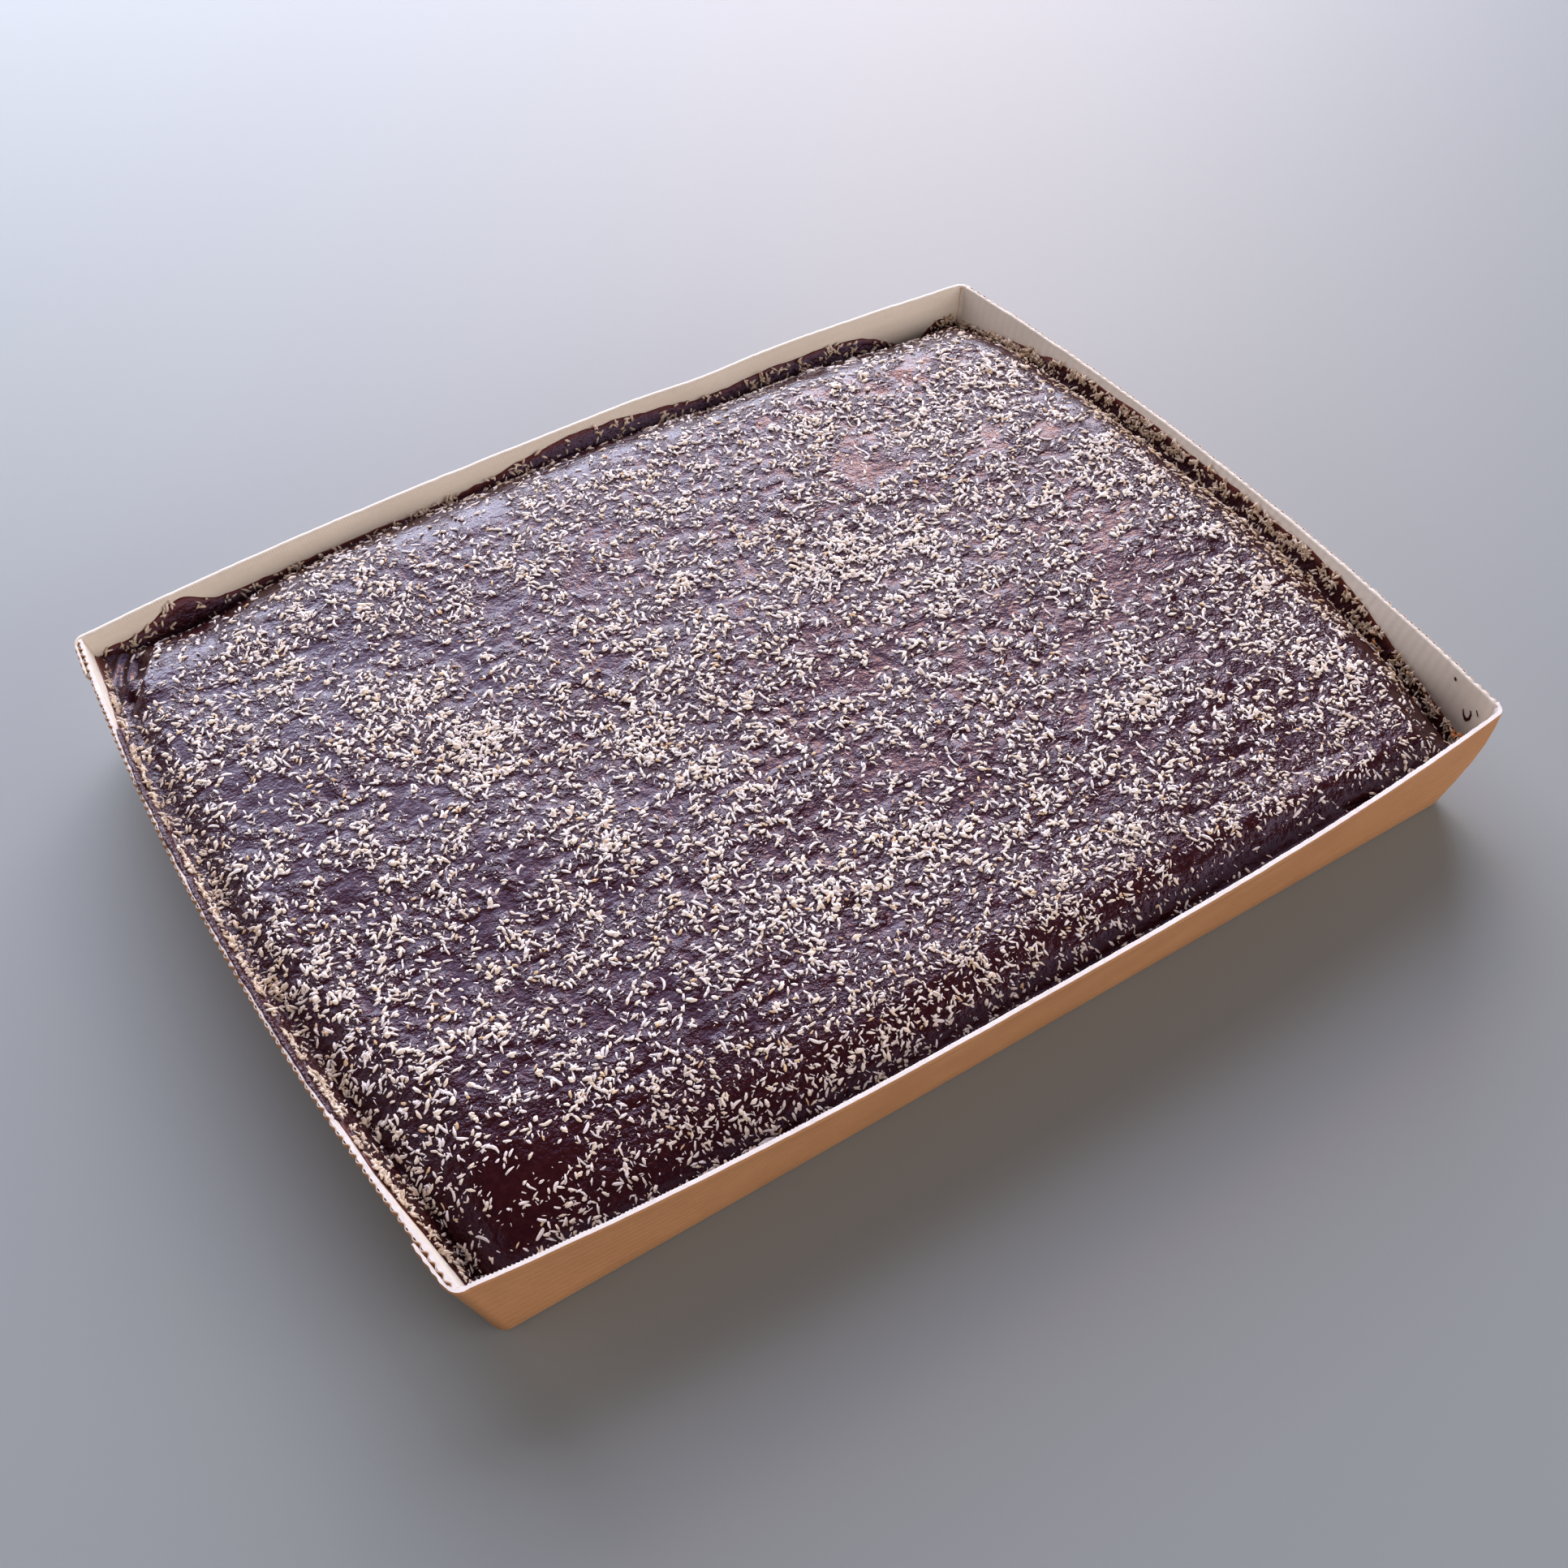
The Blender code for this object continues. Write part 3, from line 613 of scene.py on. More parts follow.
def colour(red, green, blue):
    """A colour as read off a screen, from 0 to 255, turned into the linear values that shaders take."""
    def linear(value):
        share = value / 255.0
        return share / 12.92 if share <= 0.04045 else ((share + 0.055) / 1.055) ** 2.4
    return (linear(red), linear(green), linear(blue), 1.0)


def new_finish(name, **constants):
    """A material, its Principled BSDF with the constant sockets set, and its tree as a Wire."""
    material = bpy.data.materials.new(name)
    material.use_nodes = True
    shader = material.node_tree.nodes["Principled BSDF"]
    for socket, value in constants.items():
        shader.inputs[socket.replace("_", " ").title().replace("Ior", "IOR")].default_value = value
    return material, shader, Wire(material.node_tree)


def plug(tree, shader, **wires):
    """Links wires to the shader's sockets of the same names."""
    for socket, wire in wires.items():
        tree.tree.links.new(wire.socket, shader.inputs[socket.replace("_", " ").title()])


print("a screen grey of 128 is", round(colour(128, 128, 128)[0], 3), "in linear light")

# %% [markdown]
# ## The chocolate's finish
#
# The frosting is nearly black brown, with a soft gloss that mirrors the daylight. Where the knife left
# only a film on the board it lets light through and looks red brown. A vertex value called film says
# where that is. Two noises break up the gloss, because the fat in the frosting dulls it in patches, and
# a fine bump stands for bubbles and crumbs too small to model. A second vertex value, dry, mixes in a
# matte shader where the frosting has dried and mirrors nothing, as along the right wall. The tint of the
# mirror is violet, because dark glossy chocolate under a cold window looks violet and not grey.

# %% Frosting material
DARK_CHOCOLATE = colour(46, 14, 15)
BROWN_CHOCOLATE = colour(58, 22, 21)
FILM_CHOCOLATE = colour(104, 48, 30)
MATTE_SHINE = 0.05


def make_frosting_finish():
    """Glossy dark chocolate, mixed with a matte shader where it has dried."""
    material, shader, tree = new_finish(
        "chocolate_frosting", specular_ior_level=0.27, specular_tint=(0.66, 0.60, 1.0, 1.0)
    )
    place = tree.node("TexCoord", output=3)
    film = tree.node("Attribute", {"attribute_name": "film"}, output=2)
    rough = 1.0 - 0.85 * tree.node("Attribute", {"attribute_name": "calm"}, output=2)
    broad = tree.noise(place, 70.0)
    crumbs = tree.noise(place, 520.0, 3.0, 0.6)
    grit = tree.noise(place, 2200.0, 2.0)
    body = crumbs.step(0.4, 0.7).mix(DARK_CHOCOLATE, BROWN_CHOCOLATE)
    shown = film.mix(body, FILM_CHOCOLATE)
    dull = 0.09 + 0.08 * broad + 0.06 * grit + 0.05 * rough + 0.3 * film
    lumpy = tree.bump(crumbs * rough, 1.7 * MM, 0.8)
    gritty = tree.bump(grit, 0.05 * MM, 0.6, lumpy)
    plug(tree, shader, base_color=shown, roughness=dull, normal=gritty)
    dry = tree.node("Attribute", {"attribute_name": "dry"}, output=2)
    sockets = {"Base Color": shown, "Roughness": 0.7, "Specular IOR Level": MATTE_SHINE, "Normal": gritty}
    matte = tree.node("BsdfPrincipled", {}, sockets)
    both = tree.node("MixShader", {}, {0: dry, 1: Wire(tree.tree, shader.outputs[0]), 2: matte})
    tree.tree.links.new(both.socket, tree.tree.nodes["Material Output"].inputs["Surface"])
    return material


chocolate = make_frosting_finish()
print("made", chocolate.name)

# %% [markdown]
# ## The frosting as a mesh
#
# A height field suits a spread surface: one grid over the cake, with its lines bent to follow the
# bowed walls. The lines lie a quarter of a millimetre apart at the walls, where a thin film climbs the
# board, and about one apart in the middle. Below the edge the sides run down to a flat bottom, so that
# the piece is one closed body. Its points carry three values for the finish: film, calm and dry. It is
# calm in the pool and where it lies bare, and dry along the right wall.

# %% Lines of the grid
FINE_STEP = 0.25 * MM
COARSE_STEP = 1.04 * MM
STEP_GROWTH = 1.05
CAKE_CORNER = 1.9 * MM
BENDING_ROUNDS = 4
LEAN_REACH = 5.0 * MM


def grid_lines(half):
    """Places from -1 to 1 across a run of that half size, packed closely towards both ends."""
    gaps = [0.0]
    step = FINE_STEP
    while gaps[-1] < 0.5 * half and step < COARSE_STEP:
        gaps.append(gaps[-1] + step)
        step *= STEP_GROWTH
    middle = half - gaps[-1]
    count = int(2.0 * middle / COARSE_STEP)
    inner = np.linspace(-middle, middle, count + 1)
    ends = half - np.array(gaps[:-1])
    return np.concatenate([-ends, inner, ends[::-1]]) / half


def plan_of_grid(across, along):
    """Plan points at the gauge height, bent to the walls, with small round corners."""
    share_x, share_y = np.meshgrid(across, along)
    x = share_x * RIM_LENGTH / 2.0
    y = share_y * RIM_WIDTH / 2.0
    for _ in range(BENDING_ROUNDS):
        far_y = np.where(share_y > 0.0, reach_y(x, GAUGE_HEIGHT, True), reach_y(x, GAUGE_HEIGHT, False))
        y = share_y * far_y
        x = share_x * reach_x(y, GAUGE_HEIGHT)
    past_x = np.abs(x) - (reach_x(y, GAUGE_HEIGHT) - CAKE_CORNER)
    past_y = np.abs(y) - (far_y - CAKE_CORNER)
    in_corner = (past_x > 0.0) & (past_y > 0.0)
    shrink = np.ones_like(x)
    away = np.hypot(past_x, past_y)
    shrink[in_corner] = (np.maximum(past_x, past_y) / np.maximum(away, 1e-9))[in_corner]
    x = np.sign(x) * (np.abs(x) - np.where(in_corner, past_x * (1.0 - shrink), 0.0))
    y = np.sign(y) * (np.abs(y) - np.where(in_corner, past_y * (1.0 - shrink), 0.0))
    return x, y


def lean_with_walls(x, y, z):
    """Moves a point of the gauge plan outwards or inwards, as the walls lean at its height."""
    gaps = gaps_to_walls(x, y)
    near_x = np.exp(-(np.minimum(gaps["left"], gaps["right"]) / LEAN_REACH) ** 2)
    near_y = np.exp(-(np.minimum(gaps["front"], gaps["back"]) / LEAN_REACH) ** 2)
    shift_x = reach_x(y, z) - reach_x(y, GAUGE_HEIGHT)
    shift_y = np.where(
        y > 0.0,
        reach_y(x, z, True) - reach_y(x, GAUGE_HEIGHT, True),
        reach_y(x, z, False) - reach_y(x, GAUGE_HEIGHT, False),
    )
    return x + np.sign(x) * shift_x * near_x, y + np.sign(y) * shift_y * near_y


print("the grid takes", len(grid_lines(RIM_LENGTH / 2.0)), "by", len(grid_lines(RIM_WIDTH / 2.0)), "lines")

# %% Meshes from arrays
def link_piece(name, mesh, *materials):
    """An object for a finished mesh, which rides on the tray's body."""
    for material in materials:
        mesh.materials.append(material)
    made = bpy.data.objects.new(name, mesh)
    bpy.context.scene.collection.objects.link(made)
    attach(made, "root")
    return made


def mesh_from_arrays(name, points, faces, smooth=True):
    """A mesh from an array of points and a list of face arrays, each with one width."""
    mesh = bpy.data.meshes.new(name)
    loops = np.concatenate([np.asarray(block).ravel() for block in faces]).astype(np.int32)
    sizes = np.concatenate([np.full(len(block), np.asarray(block).shape[1]) for block in faces])
    starts = np.concatenate([[0], np.cumsum(sizes)[:-1]]).astype(np.int32)
    mesh.vertices.add(len(points))
    mesh.vertices.foreach_set("co", np.asarray(points, dtype=np.float32).ravel())
    mesh.loops.add(len(loops))
    mesh.loops.foreach_set("vertex_index", loops)
    mesh.polygons.add(len(starts))
    mesh.polygons.foreach_set("loop_start", starts)
    mesh.update(calc_edges=True)
    mesh.validate()
    if smooth:
        mesh.shade_smooth()
    return mesh


def put_values(mesh, name, values):
    """One number at each vertex, for the material to read."""
    attribute = mesh.attributes.new(name, "FLOAT", "POINT")
    attribute.data.foreach_set("value", np.asarray(values, dtype=np.float32).ravel())


print("meshes before the first visible piece:", len(bpy.data.meshes))

# %% Film, calm and dry places
FILM_EDGE = 0.8 * MM
FILM_DEPTH = 1.8 * MM
FILM_WAVE = (4.2 * MM, -137.0 * MM, 10.0 * MM)
CALM_CORNER = (-140.0 * MM, -112.0 * MM, 26.0 * MM, 18.0 * MM)
CALM_FRONT = (24.0 * MM, 8.0 * MM)
CALM_FRONT_MOST = 0.6
BARE_COVER = (0.15, 0.6)
BARE_MOST = 0.8
DRY_EDGE = (15.0 * MM, 9.0 * MM)
DRY_EDGE_MOST = 0.85
DRY_CORNER = (160.0 * MM, 124.0 * MM, 22.0 * MM)
DRY_CORNER_MOST = 0.9


def film_share(x, y, z):
    """One where only a film is left, at the top of the frosting on a wall."""
    gaps = gaps_to_walls(x, y)
    gap = nearest_gap(x, y)
    tops = wall_top(x, y)
    nearest = np.select([gaps[wall] <= gap + 1e-9 for wall in tops], list(tops.values()))
    height, place, reach = FILM_WAVE
    film_depth = FILM_DEPTH + height * hump(x, place, reach)
    return np.exp(-gap / FILM_EDGE) * np.clip(1.0 - (nearest - z) / film_depth, 0.0, 1.0)


def calmness(x, y):
    """One where the frosting lies smooth and thick, nought where coconut has roughened it."""
    corner_x, corner_y, reach_along_x, reach_along_y = CALM_CORNER
    corner = np.exp(-((x - corner_x) / reach_along_x) ** 2 - ((y - corner_y) / reach_along_y) ** 2)
    front = CALM_FRONT_MOST * smooth_ramp(gaps_to_walls(x, y)["front"], *CALM_FRONT)
    bare = 1.0 - smooth_ramp(coconut_density(x, y), *BARE_COVER)
    return np.clip(np.maximum.reduce([corner, front, BARE_MOST * bare, pool_share(x, y)]), 0.0, 1.0)


def dryness(x, y):
    """One where crumbs and dust of coconut have dulled the gloss: by the right wall and its back corner."""
    edge = DRY_EDGE_MOST * smooth_ramp(gaps_to_walls(x, y)["right"], *DRY_EDGE)
    corner_x, corner_y, reach = DRY_CORNER
    corner = DRY_CORNER_MOST * hump(np.hypot(x - corner_x, y - corner_y), 0.0, reach)
    return np.maximum(edge, corner)


print("calm in the middle:", round(float(calmness(0.0, 0.0)), 2))

# %% Frosting mesh
GAP = 0.3 * MM
SIDE_DRAW_IN = 1.6 * MM


def sheet_foot(x, y, floor):
    """Plan of the sheet's sides at the height of its floor, from the plan of its edge."""
    foot_x = np.sign(x) * (np.abs(x) + reach_x(y, floor) - reach_x(y, GAUGE_HEIGHT))
    foot_y = np.sign(y) * (np.abs(y) + half_width(floor) - half_width(GAUGE_HEIGHT))
    bow = LONG_WALL_BOW * (1.0 - np.minimum(np.abs(x / half_length(GAUGE_HEIGHT)), 1.0) ** LONG_BOW_POWER)
    return foot_x, foot_y - np.sign(y) * bow * (GAUGE_HEIGHT - floor) / TRAY_HEIGHT


def make_frosting(material):
    """The frosting as one closed body: its grid, then two rings down its sides, then its flat bottom."""
    x, y = plan_of_grid(grid_lines(RIM_LENGTH / 2.0), grid_lines(RIM_WIDTH / 2.0))
    z = frosting_height(x, y)
    shown_x, shown_y = lean_with_walls(x, y, z)
    rows, columns = x.shape
    index = np.arange(rows * columns).reshape(rows, columns)
    faces = np.stack([index[:-1, :-1], index[:-1, 1:], index[1:, 1:], index[1:, :-1]], -1).reshape(-1, 4)
    rim = np.concatenate([index[0, :-1], index[:-1, -1], index[-1, :0:-1], index[:0:-1, 0]])
    top = np.stack([shown_x, shown_y, z], -1).reshape(-1, 3)
    count = len(rim)
    floor = BOARD + GAP
    foot_x, foot_y = sheet_foot(x.ravel()[rim], y.ravel()[rim], floor)
    shrink = 1.0 - SIDE_DRAW_IN / (BASE_WIDTH / 2.0)
    foot = np.stack([foot_x * shrink, foot_y * shrink, np.full(count, floor)], -1)
    middle = 0.5 * (top[rim] + np.stack([foot_x, foot_y, np.full(count, floor)], -1))
    ring = np.arange(count)
    after = (ring + 1) % count
    half_way = len(top)
    bottom = half_way + count
    upper = np.stack([rim[ring], half_way + ring, half_way + after, rim[after]], -1)
    lower = np.stack([half_way + ring, bottom + ring, bottom + after, half_way + after], -1)
    base = (bottom + ring)[::-1][None, :]
    points = np.concatenate([top, middle, foot])
    mesh = mesh_from_arrays("frosted_sheet", points, [faces, upper, lower, base])
    finish_values = {"film": film_share(x, y, z), "calm": calmness(x, y), "dry": dryness(x, y)}
    for value_name, values in finish_values.items():
        put_values(mesh, value_name, np.concatenate([values.ravel(), np.zeros(2 * count)]))
    print("the frosting has", len(points), "points, and rises to", round(1000 * float(z.max()), 1), "mm")
    return link_piece("frosted_sheet", mesh, material)


frosted_sheet = make_frosting(chocolate)
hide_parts("frosted_cake")

# %% [markdown]
# ## Throwing the coconut
#
# The shreds are drawn at random and kept where the density lets them. Each then needs a direction: flat
# on the surface, and turned any way, but most of those on a steep slope slid until they pointed down it.
# In the drifts they lie on each other, so some are lifted.

# %% Places for shreds
DENSITY_TOP = 2.0
OFF_EDGE = 1.2 * MM


def scatter_places(count, seed):
    """Random plan points, kept by the density."""
    random_source = np.random.default_rng(seed)
    kept_x, kept_y = [], []
    while sum(len(part) for part in kept_x) < count:
        x = random_source.uniform(-0.5, 0.5, count) * (RIM_LENGTH + 2.0 * SHORT_WALL_BOW)
        y = random_source.uniform(-0.5, 0.5, count) * (RIM_WIDTH + 2.0 * LONG_WALL_BOW)
        inside = np.abs(x) < reach_x(y, GAUGE_HEIGHT) - OFF_EDGE
        inside &= y < reach_y(x, GAUGE_HEIGHT, True) - OFF_EDGE
        inside &= -y < reach_y(x, GAUGE_HEIGHT, False) - OFF_EDGE
        inside &= random_source.uniform(0.0, DENSITY_TOP, count) < coconut_density(x, y)
        kept_x.append(x[inside])
        kept_y.append(y[inside])
    return np.concatenate(kept_x)[:count], np.concatenate(kept_y)[:count]


probe_x, probe_y = np.meshgrid(np.linspace(-0.16, 0.16, 65), np.linspace(-0.125, 0.125, 51))
print("mean cover", round(float(coconut_density(probe_x, probe_y).mean()), 2))

# %% Axes for shreds
NUDGE = 0.35 * MM
FALL_STEP = 1.0 * MM
STEEP = (0.35, 1.1)
SLID_SHARE = 0.75
SLID_ASTRAY = 0.6
HEAPED = (0.9, 1.6)


def on_surface(x, y):
    """Points of the frosting's shown surface over plan points."""
    z = frosting_height(x, y)
    shown_x, shown_y = lean_with_walls(x, y, z)
    return np.stack([shown_x, shown_y, z], -1)


def surface_axes(x, y, heading):
    """Centres on the frosting, with axes along the heading, sideways and outwards."""
    centre = on_surface(x, y)
    run_x = on_surface(x + NUDGE, y) - on_surface(x - NUDGE, y)
    run_y = on_surface(x, y + NUDGE) - on_surface(x, y - NUDGE)
    outward = np.cross(run_x, run_y)
    outward /= np.linalg.norm(outward, axis=1)[:, None]
    along = np.stack([np.cos(heading), np.sin(heading), np.zeros_like(heading)], -1)
    along -= outward * np.sum(along * outward, axis=1)[:, None]
    along /= np.linalg.norm(along, axis=1)[:, None]
    return centre, along, np.cross(outward, along), outward


def scattered_axes(count, seed):
    """Axes for shreds thrown on the frosting. On steep slopes most of them lie down the slope."""
    random_source = np.random.default_rng(seed)
    x, y = scatter_places(count, seed)
    fall_x = (frosting_height(x + FALL_STEP, y) - frosting_height(x - FALL_STEP, y)) / (2.0 * FALL_STEP)
    fall_y = (frosting_height(x, y + FALL_STEP) - frosting_height(x, y - FALL_STEP)) / (2.0 * FALL_STEP)
    steep = smooth_ramp(np.hypot(fall_x, fall_y), *STEEP)
    down = np.arctan2(fall_y, fall_x) + random_source.uniform(-SLID_ASTRAY, SLID_ASTRAY, count)
    follows = random_source.uniform(0.0, 1.0, count) < SLID_SHARE * steep
    heading = np.where(follows, down, random_source.uniform(0.0, 2.0 * np.pi, count))
    heaped = smooth_ramp(coconut_density(x, y), *HEAPED) * random_source.uniform(0.0, 1.0, count) ** 2
    return surface_axes(x, y, heading), heaped


middle_axes = surface_axes(np.zeros(1), np.zeros(1), np.zeros(1))
print("on the middle the frosting faces up by", round(float(middle_axes[3][0, 2]), 3))

# %% [markdown]
# ## Shreds, curls, chips and crumbs
#
# Desiccated coconut is grated and then dried, so a shred is a little bar, thicker in the middle, with
# torn ends, a slight bend and a twist. Sieved sizes mix: most are like short grains of rice, some are
# fine crumbs, and a few are long curls or flat chips. Each kind becomes one joined mesh. All shreds of a
# kind are computed at once as arrays, which takes seconds where thousands of objects would take hours.
# Near the walls the coconut is painted tan, partly for frosting that soaked into it and partly as painted
# shade of the grooves and walls, and a vertex value says how much.

# %% Where the coconut is soaked, and painted shade near the walls
# How far from each wall the coconut turns tan, for soaking and as painted shade, and how strongly
SOAK_AND_SHADE = {
    "left": (10.0 * MM, 0.7), "right": (19.0 * MM, 1.0),
    "front": (34.0 * MM, 0.32), "back": (9.0 * MM, 0.8),
}
SOAK_AND_SHADE_CORNER = (158.0 * MM, 121.0 * MM, 20.0 * MM)
SOAK_AND_SHADE_CORE = 0.55


def soak_and_shade_share(x, y):
    """One near the walls, where the coconut turns tan, partly from soaked frosting and partly as painted
    shade, and nought on the plateau.
    """
    gaps = gaps_to_walls(x, y)
    shares = [
        most * smooth_ramp(gaps[wall], reach, SOAK_AND_SHADE_CORE * reach) for wall, (reach, most) in SOAK_AND_SHADE.items()
    ]
    corner_x, corner_y, corner_reach = SOAK_AND_SHADE_CORNER
    shares.append(hump(np.hypot(x - corner_x, y - corner_y), 0.0, corner_reach))
    return np.maximum.reduce(shares)


print("soaked at the right wall:", round(float(soak_and_shade_share(half_length(GAUGE_HEIGHT), 0.0)), 2))

# %% Joined shreds
CORNERS = ((-0.5, -0.5), (0.5, -0.5), (0.44, 0.5), (-0.44, 0.5))
SMALLER_IN_FRONT = 0.15
SMALLER_ZONE = (45.0 * MM, 20.0 * MM)
HEAP_HEIGHT = 1.0 * MM
# How unlike each other the shreds of one kind are, mostly as shares of their own size
UNEVEN_LENGTH = (0.75, 1.25)
SUNK_OR_LIFTED = (-0.15, 0.45)
PITCH_LIFT = 0.4
ROLL_SHARE = 1.6
BEND = 0.07
TWIST = 0.5
END_TAPER = (0.25, 0.7)
UNEVEN_SIDES = (0.8, 1.2)
TORN_ENDS = (0.9, 1.1)
UNEVEN_SOAK_AND_SHADE = (0.35, 1.0)


def turned(first, second, angle):
    """Two axes that stand square on each other, turned by an angle in their own plane."""
    cosine, sine = np.cos(angle)[:, None], np.sin(angle)[:, None]
    return first * cosine + second * sine, second * cosine - first * sine


def bar_faces(count, rings, sides):
    """Faces of so many closed bars, each of rings of points: its strips, then the two ends."""
    first = np.arange(count)[:, None] * (rings * sides)
    strips = []
    for ring in range(rings - 1):
        for side in range(sides):
            after = (side + 1) % sides
            low, high = ring * sides, ring * sides + sides
            strips.append(first + np.array([low + side, low + after, high + after, high + side]))
    start = first + np.arange(sides)[::-1]
    end = first + (rings - 1) * sides + np.arange(sides)
    return [np.concatenate(strips), start, end]


def join_shreds(name, material, axes, heaped, size, seed, rings=3, tilt=0.2, curl=0.0, soak_and_shade_strength=1.0):
    """Bars with torn ends, set on the given axes. size holds ranges of length, width and thickness."""
    random_source = np.random.default_rng(seed)
    centre, along, sideways, outward = axes
    count = len(centre)

    def draw(low, high):
        return random_source.uniform(low, high, count)

    front = smooth_ramp(gaps_to_walls(centre[:, 0], centre[:, 1])["front"], *SMALLER_ZONE)
    length, width, thickness = (draw(low, high) * (1.0 - SMALLER_IN_FRONT * front) for low, high in size)
    length = length * draw(*UNEVEN_LENGTH)
    pitch = random_source.normal(0.0, tilt, count)
    roll = random_source.normal(0.0, ROLL_SHARE * tilt, count)
    along, outward = turned(along, outward, pitch)
    sideways, outward = turned(sideways, outward, roll)
    lift = thickness * draw(*SUNK_OR_LIFTED) + np.abs(np.sin(pitch)) * length * PITCH_LIFT
    lift = lift + heaped * HEAP_HEIGHT
    bend = draw(-BEND, BEND) * length
    curled = curl * draw(0.4, 1.0) * length
    twist = draw(-TWIST, TWIST)
    points = np.empty((count, rings * len(CORNERS), 3))
    for ring, place in enumerate(np.linspace(-0.5, 0.5, rings)):
        end_taper = draw(*END_TAPER)
        taper = 1.0 - (1.0 - end_taper) * (2.0 * abs(place)) ** 2
        rise = lift + curled * (4.0 * place * place - 0.3)
        aside = bend * (1.0 - 4.0 * place * place)
        spin = twist * place * 2.0
        for corner, (side, up) in enumerate(CORNERS):
            out = side * width * taper * draw(*UNEVEN_SIDES)
            high = up * thickness * taper * draw(*UNEVEN_SIDES)
            shift_side = aside + out * np.cos(spin) - high * np.sin(spin)
            shift_up = rise + out * np.sin(spin) + high * np.cos(spin)
            run = place * length * draw(*TORN_ENDS)
            points[:, ring * len(CORNERS) + corner] = (
                centre + along * run[:, None] + sideways * shift_side[:, None] + outward * shift_up[:, None]
            )
    faces = bar_faces(count, rings, len(CORNERS))
    mesh = mesh_from_arrays(name, points.reshape(-1, 3), faces, smooth=False)
    shade = random_source.uniform(0.0, 1.0, count)
    # A shred near the walls turns tan: partly frosting soaked in, partly painted shade
    soak_and_shade = soak_and_shade_strength * soak_and_shade_share(centre[:, 0], centre[:, 1]) * draw(*UNEVEN_SOAK_AND_SHADE)
    for value_name, values in (("shade", shade), ("soak_and_shade", soak_and_shade)):
        put_values(mesh, value_name, np.repeat(values, rings * len(CORNERS)))
    made = link_piece(name, mesh, material)
    print(name, "takes", count, "pieces and", 2 * len(mesh.polygons), "triangles")
    return made

# %% [markdown]
# ## The coconut's finish
#
# Dried coconut is dull and nearly white. It looks real only when no two shreds have quite one colour, so
# each shred carries a random shade as a vertex value, and a soft noise adds patches. Three materials,
# white, cream and toasted, keep the kinds apart. Near the walls the colour turns to tan, partly where the
# coconut is soaked and partly as painted shade.

# %% Coconut finishes
# Tan near the walls: partly frosting soaked into the coconut, partly painted shade
SOAKED_AND_SHADED_FLESH = colour(184, 152, 118)


def make_coconut_finish(name, pale, deep):
    """Dry white flesh: dull, and never quite one colour."""
    material, shader, tree = new_finish(name, roughness=0.62, specular_ior_level=0.25)
    place = tree.node("TexCoord", output=3)
    shade = tree.node("Attribute", {"attribute_name": "shade"}, output=2)
    patches = tree.noise(place, 700.0, 2.0)
    # Painted shade in part: near the walls the flesh turns tan, also where frosting soaked in
    soak_and_shade = tree.node("Attribute", {"attribute_name": "soak_and_shade"}, output=2)
    tone = (shade * 0.75 + patches.step(0.35, 0.75) * 0.35).clamp()
    plug(tree, shader, base_color=soak_and_shade.mix(tone.mix(pale, deep), SOAKED_AND_SHADED_FLESH))
    return material


WHITE_FLESH = make_coconut_finish("white_flesh", colour(254, 246, 248), colour(244, 230, 224))
CREAM_FLESH = make_coconut_finish("cream_flesh", colour(253, 242, 232), colour(243, 222, 200))
TOASTED_FLESH = make_coconut_finish("toasted_flesh", colour(240, 212, 174), colour(218, 176, 136))
print("made", [flesh.name for flesh in (WHITE_FLESH, CREAM_FLESH, TOASTED_FLESH)])

# %% The kinds of coconut
# Kinds of coconut: name, flesh, number, rings, ranges of length, width and thickness in mm, and seed
SHREDS = (
    ("white_shreds", WHITE_FLESH, 7000, 3, ((1.3, 2.7), (0.55, 0.95), (0.35, 0.6)), 61),
    ("cream_shreds", CREAM_FLESH, 5200, 3, ((1.2, 2.6), (0.6, 1.0), (0.35, 0.6)), 62),
    ("toasted_shreds", TOASTED_FLESH, 900, 3, ((1.0, 2.2), (0.5, 0.9), (0.35, 0.6)), 63),
    ("broad_chips", CREAM_FLESH, 1500, 3, ((1.5, 2.6), (1.0, 1.5), (0.5, 0.8)), 64),
    ("short_shreds", WHITE_FLESH, 10500, 2, ((0.7, 1.4), (0.4, 0.75), (0.3, 0.5)), 65),
    ("cream_crumbs", CREAM_FLESH, 6500, 2, ((0.35, 0.8), (0.3, 0.6), (0.25, 0.45)), 66),
)


def in_metres(size_range):
    """Ranges of sizes that are given in mm."""
    return tuple((low * MM, high * MM) for low, high in size_range)


for shred_name, flesh, number, ring_count, size_range, shred_seed in SHREDS:
    shred_axes, shred_heap = scattered_axes(number, shred_seed)
    size = in_metres(size_range)
    join_shreds(shred_name, flesh, shred_axes, shred_heap, size, shred_seed + 100, ring_count)

curl_axes, curl_heap = scattered_axes(150, 67)
curl_size = in_metres(((2.4, 3.6), (0.45, 0.75), (0.3, 0.5)))
join_shreds("long_curls", WHITE_FLESH, curl_axes, curl_heap, curl_size, 167, rings=5, curl=0.08)

# %% [markdown]
# ## Coconut on the walls
#
# Some of the coconut slid off the shoulders and stuck to the film of frosting on the walls. Seen from
# above a wall has hardly any area, so these shreds are placed by height on the wall, and not by the plan.

# %% Axes on the walls
WALL_FILM = 0.75 * MM
WALL_END = 6.0 * MM
PAST_TOP = 0.5 * MM
CLUMP_SIZE = 2.8 * MM
CLUMP_STRETCH = 9.0 * MM


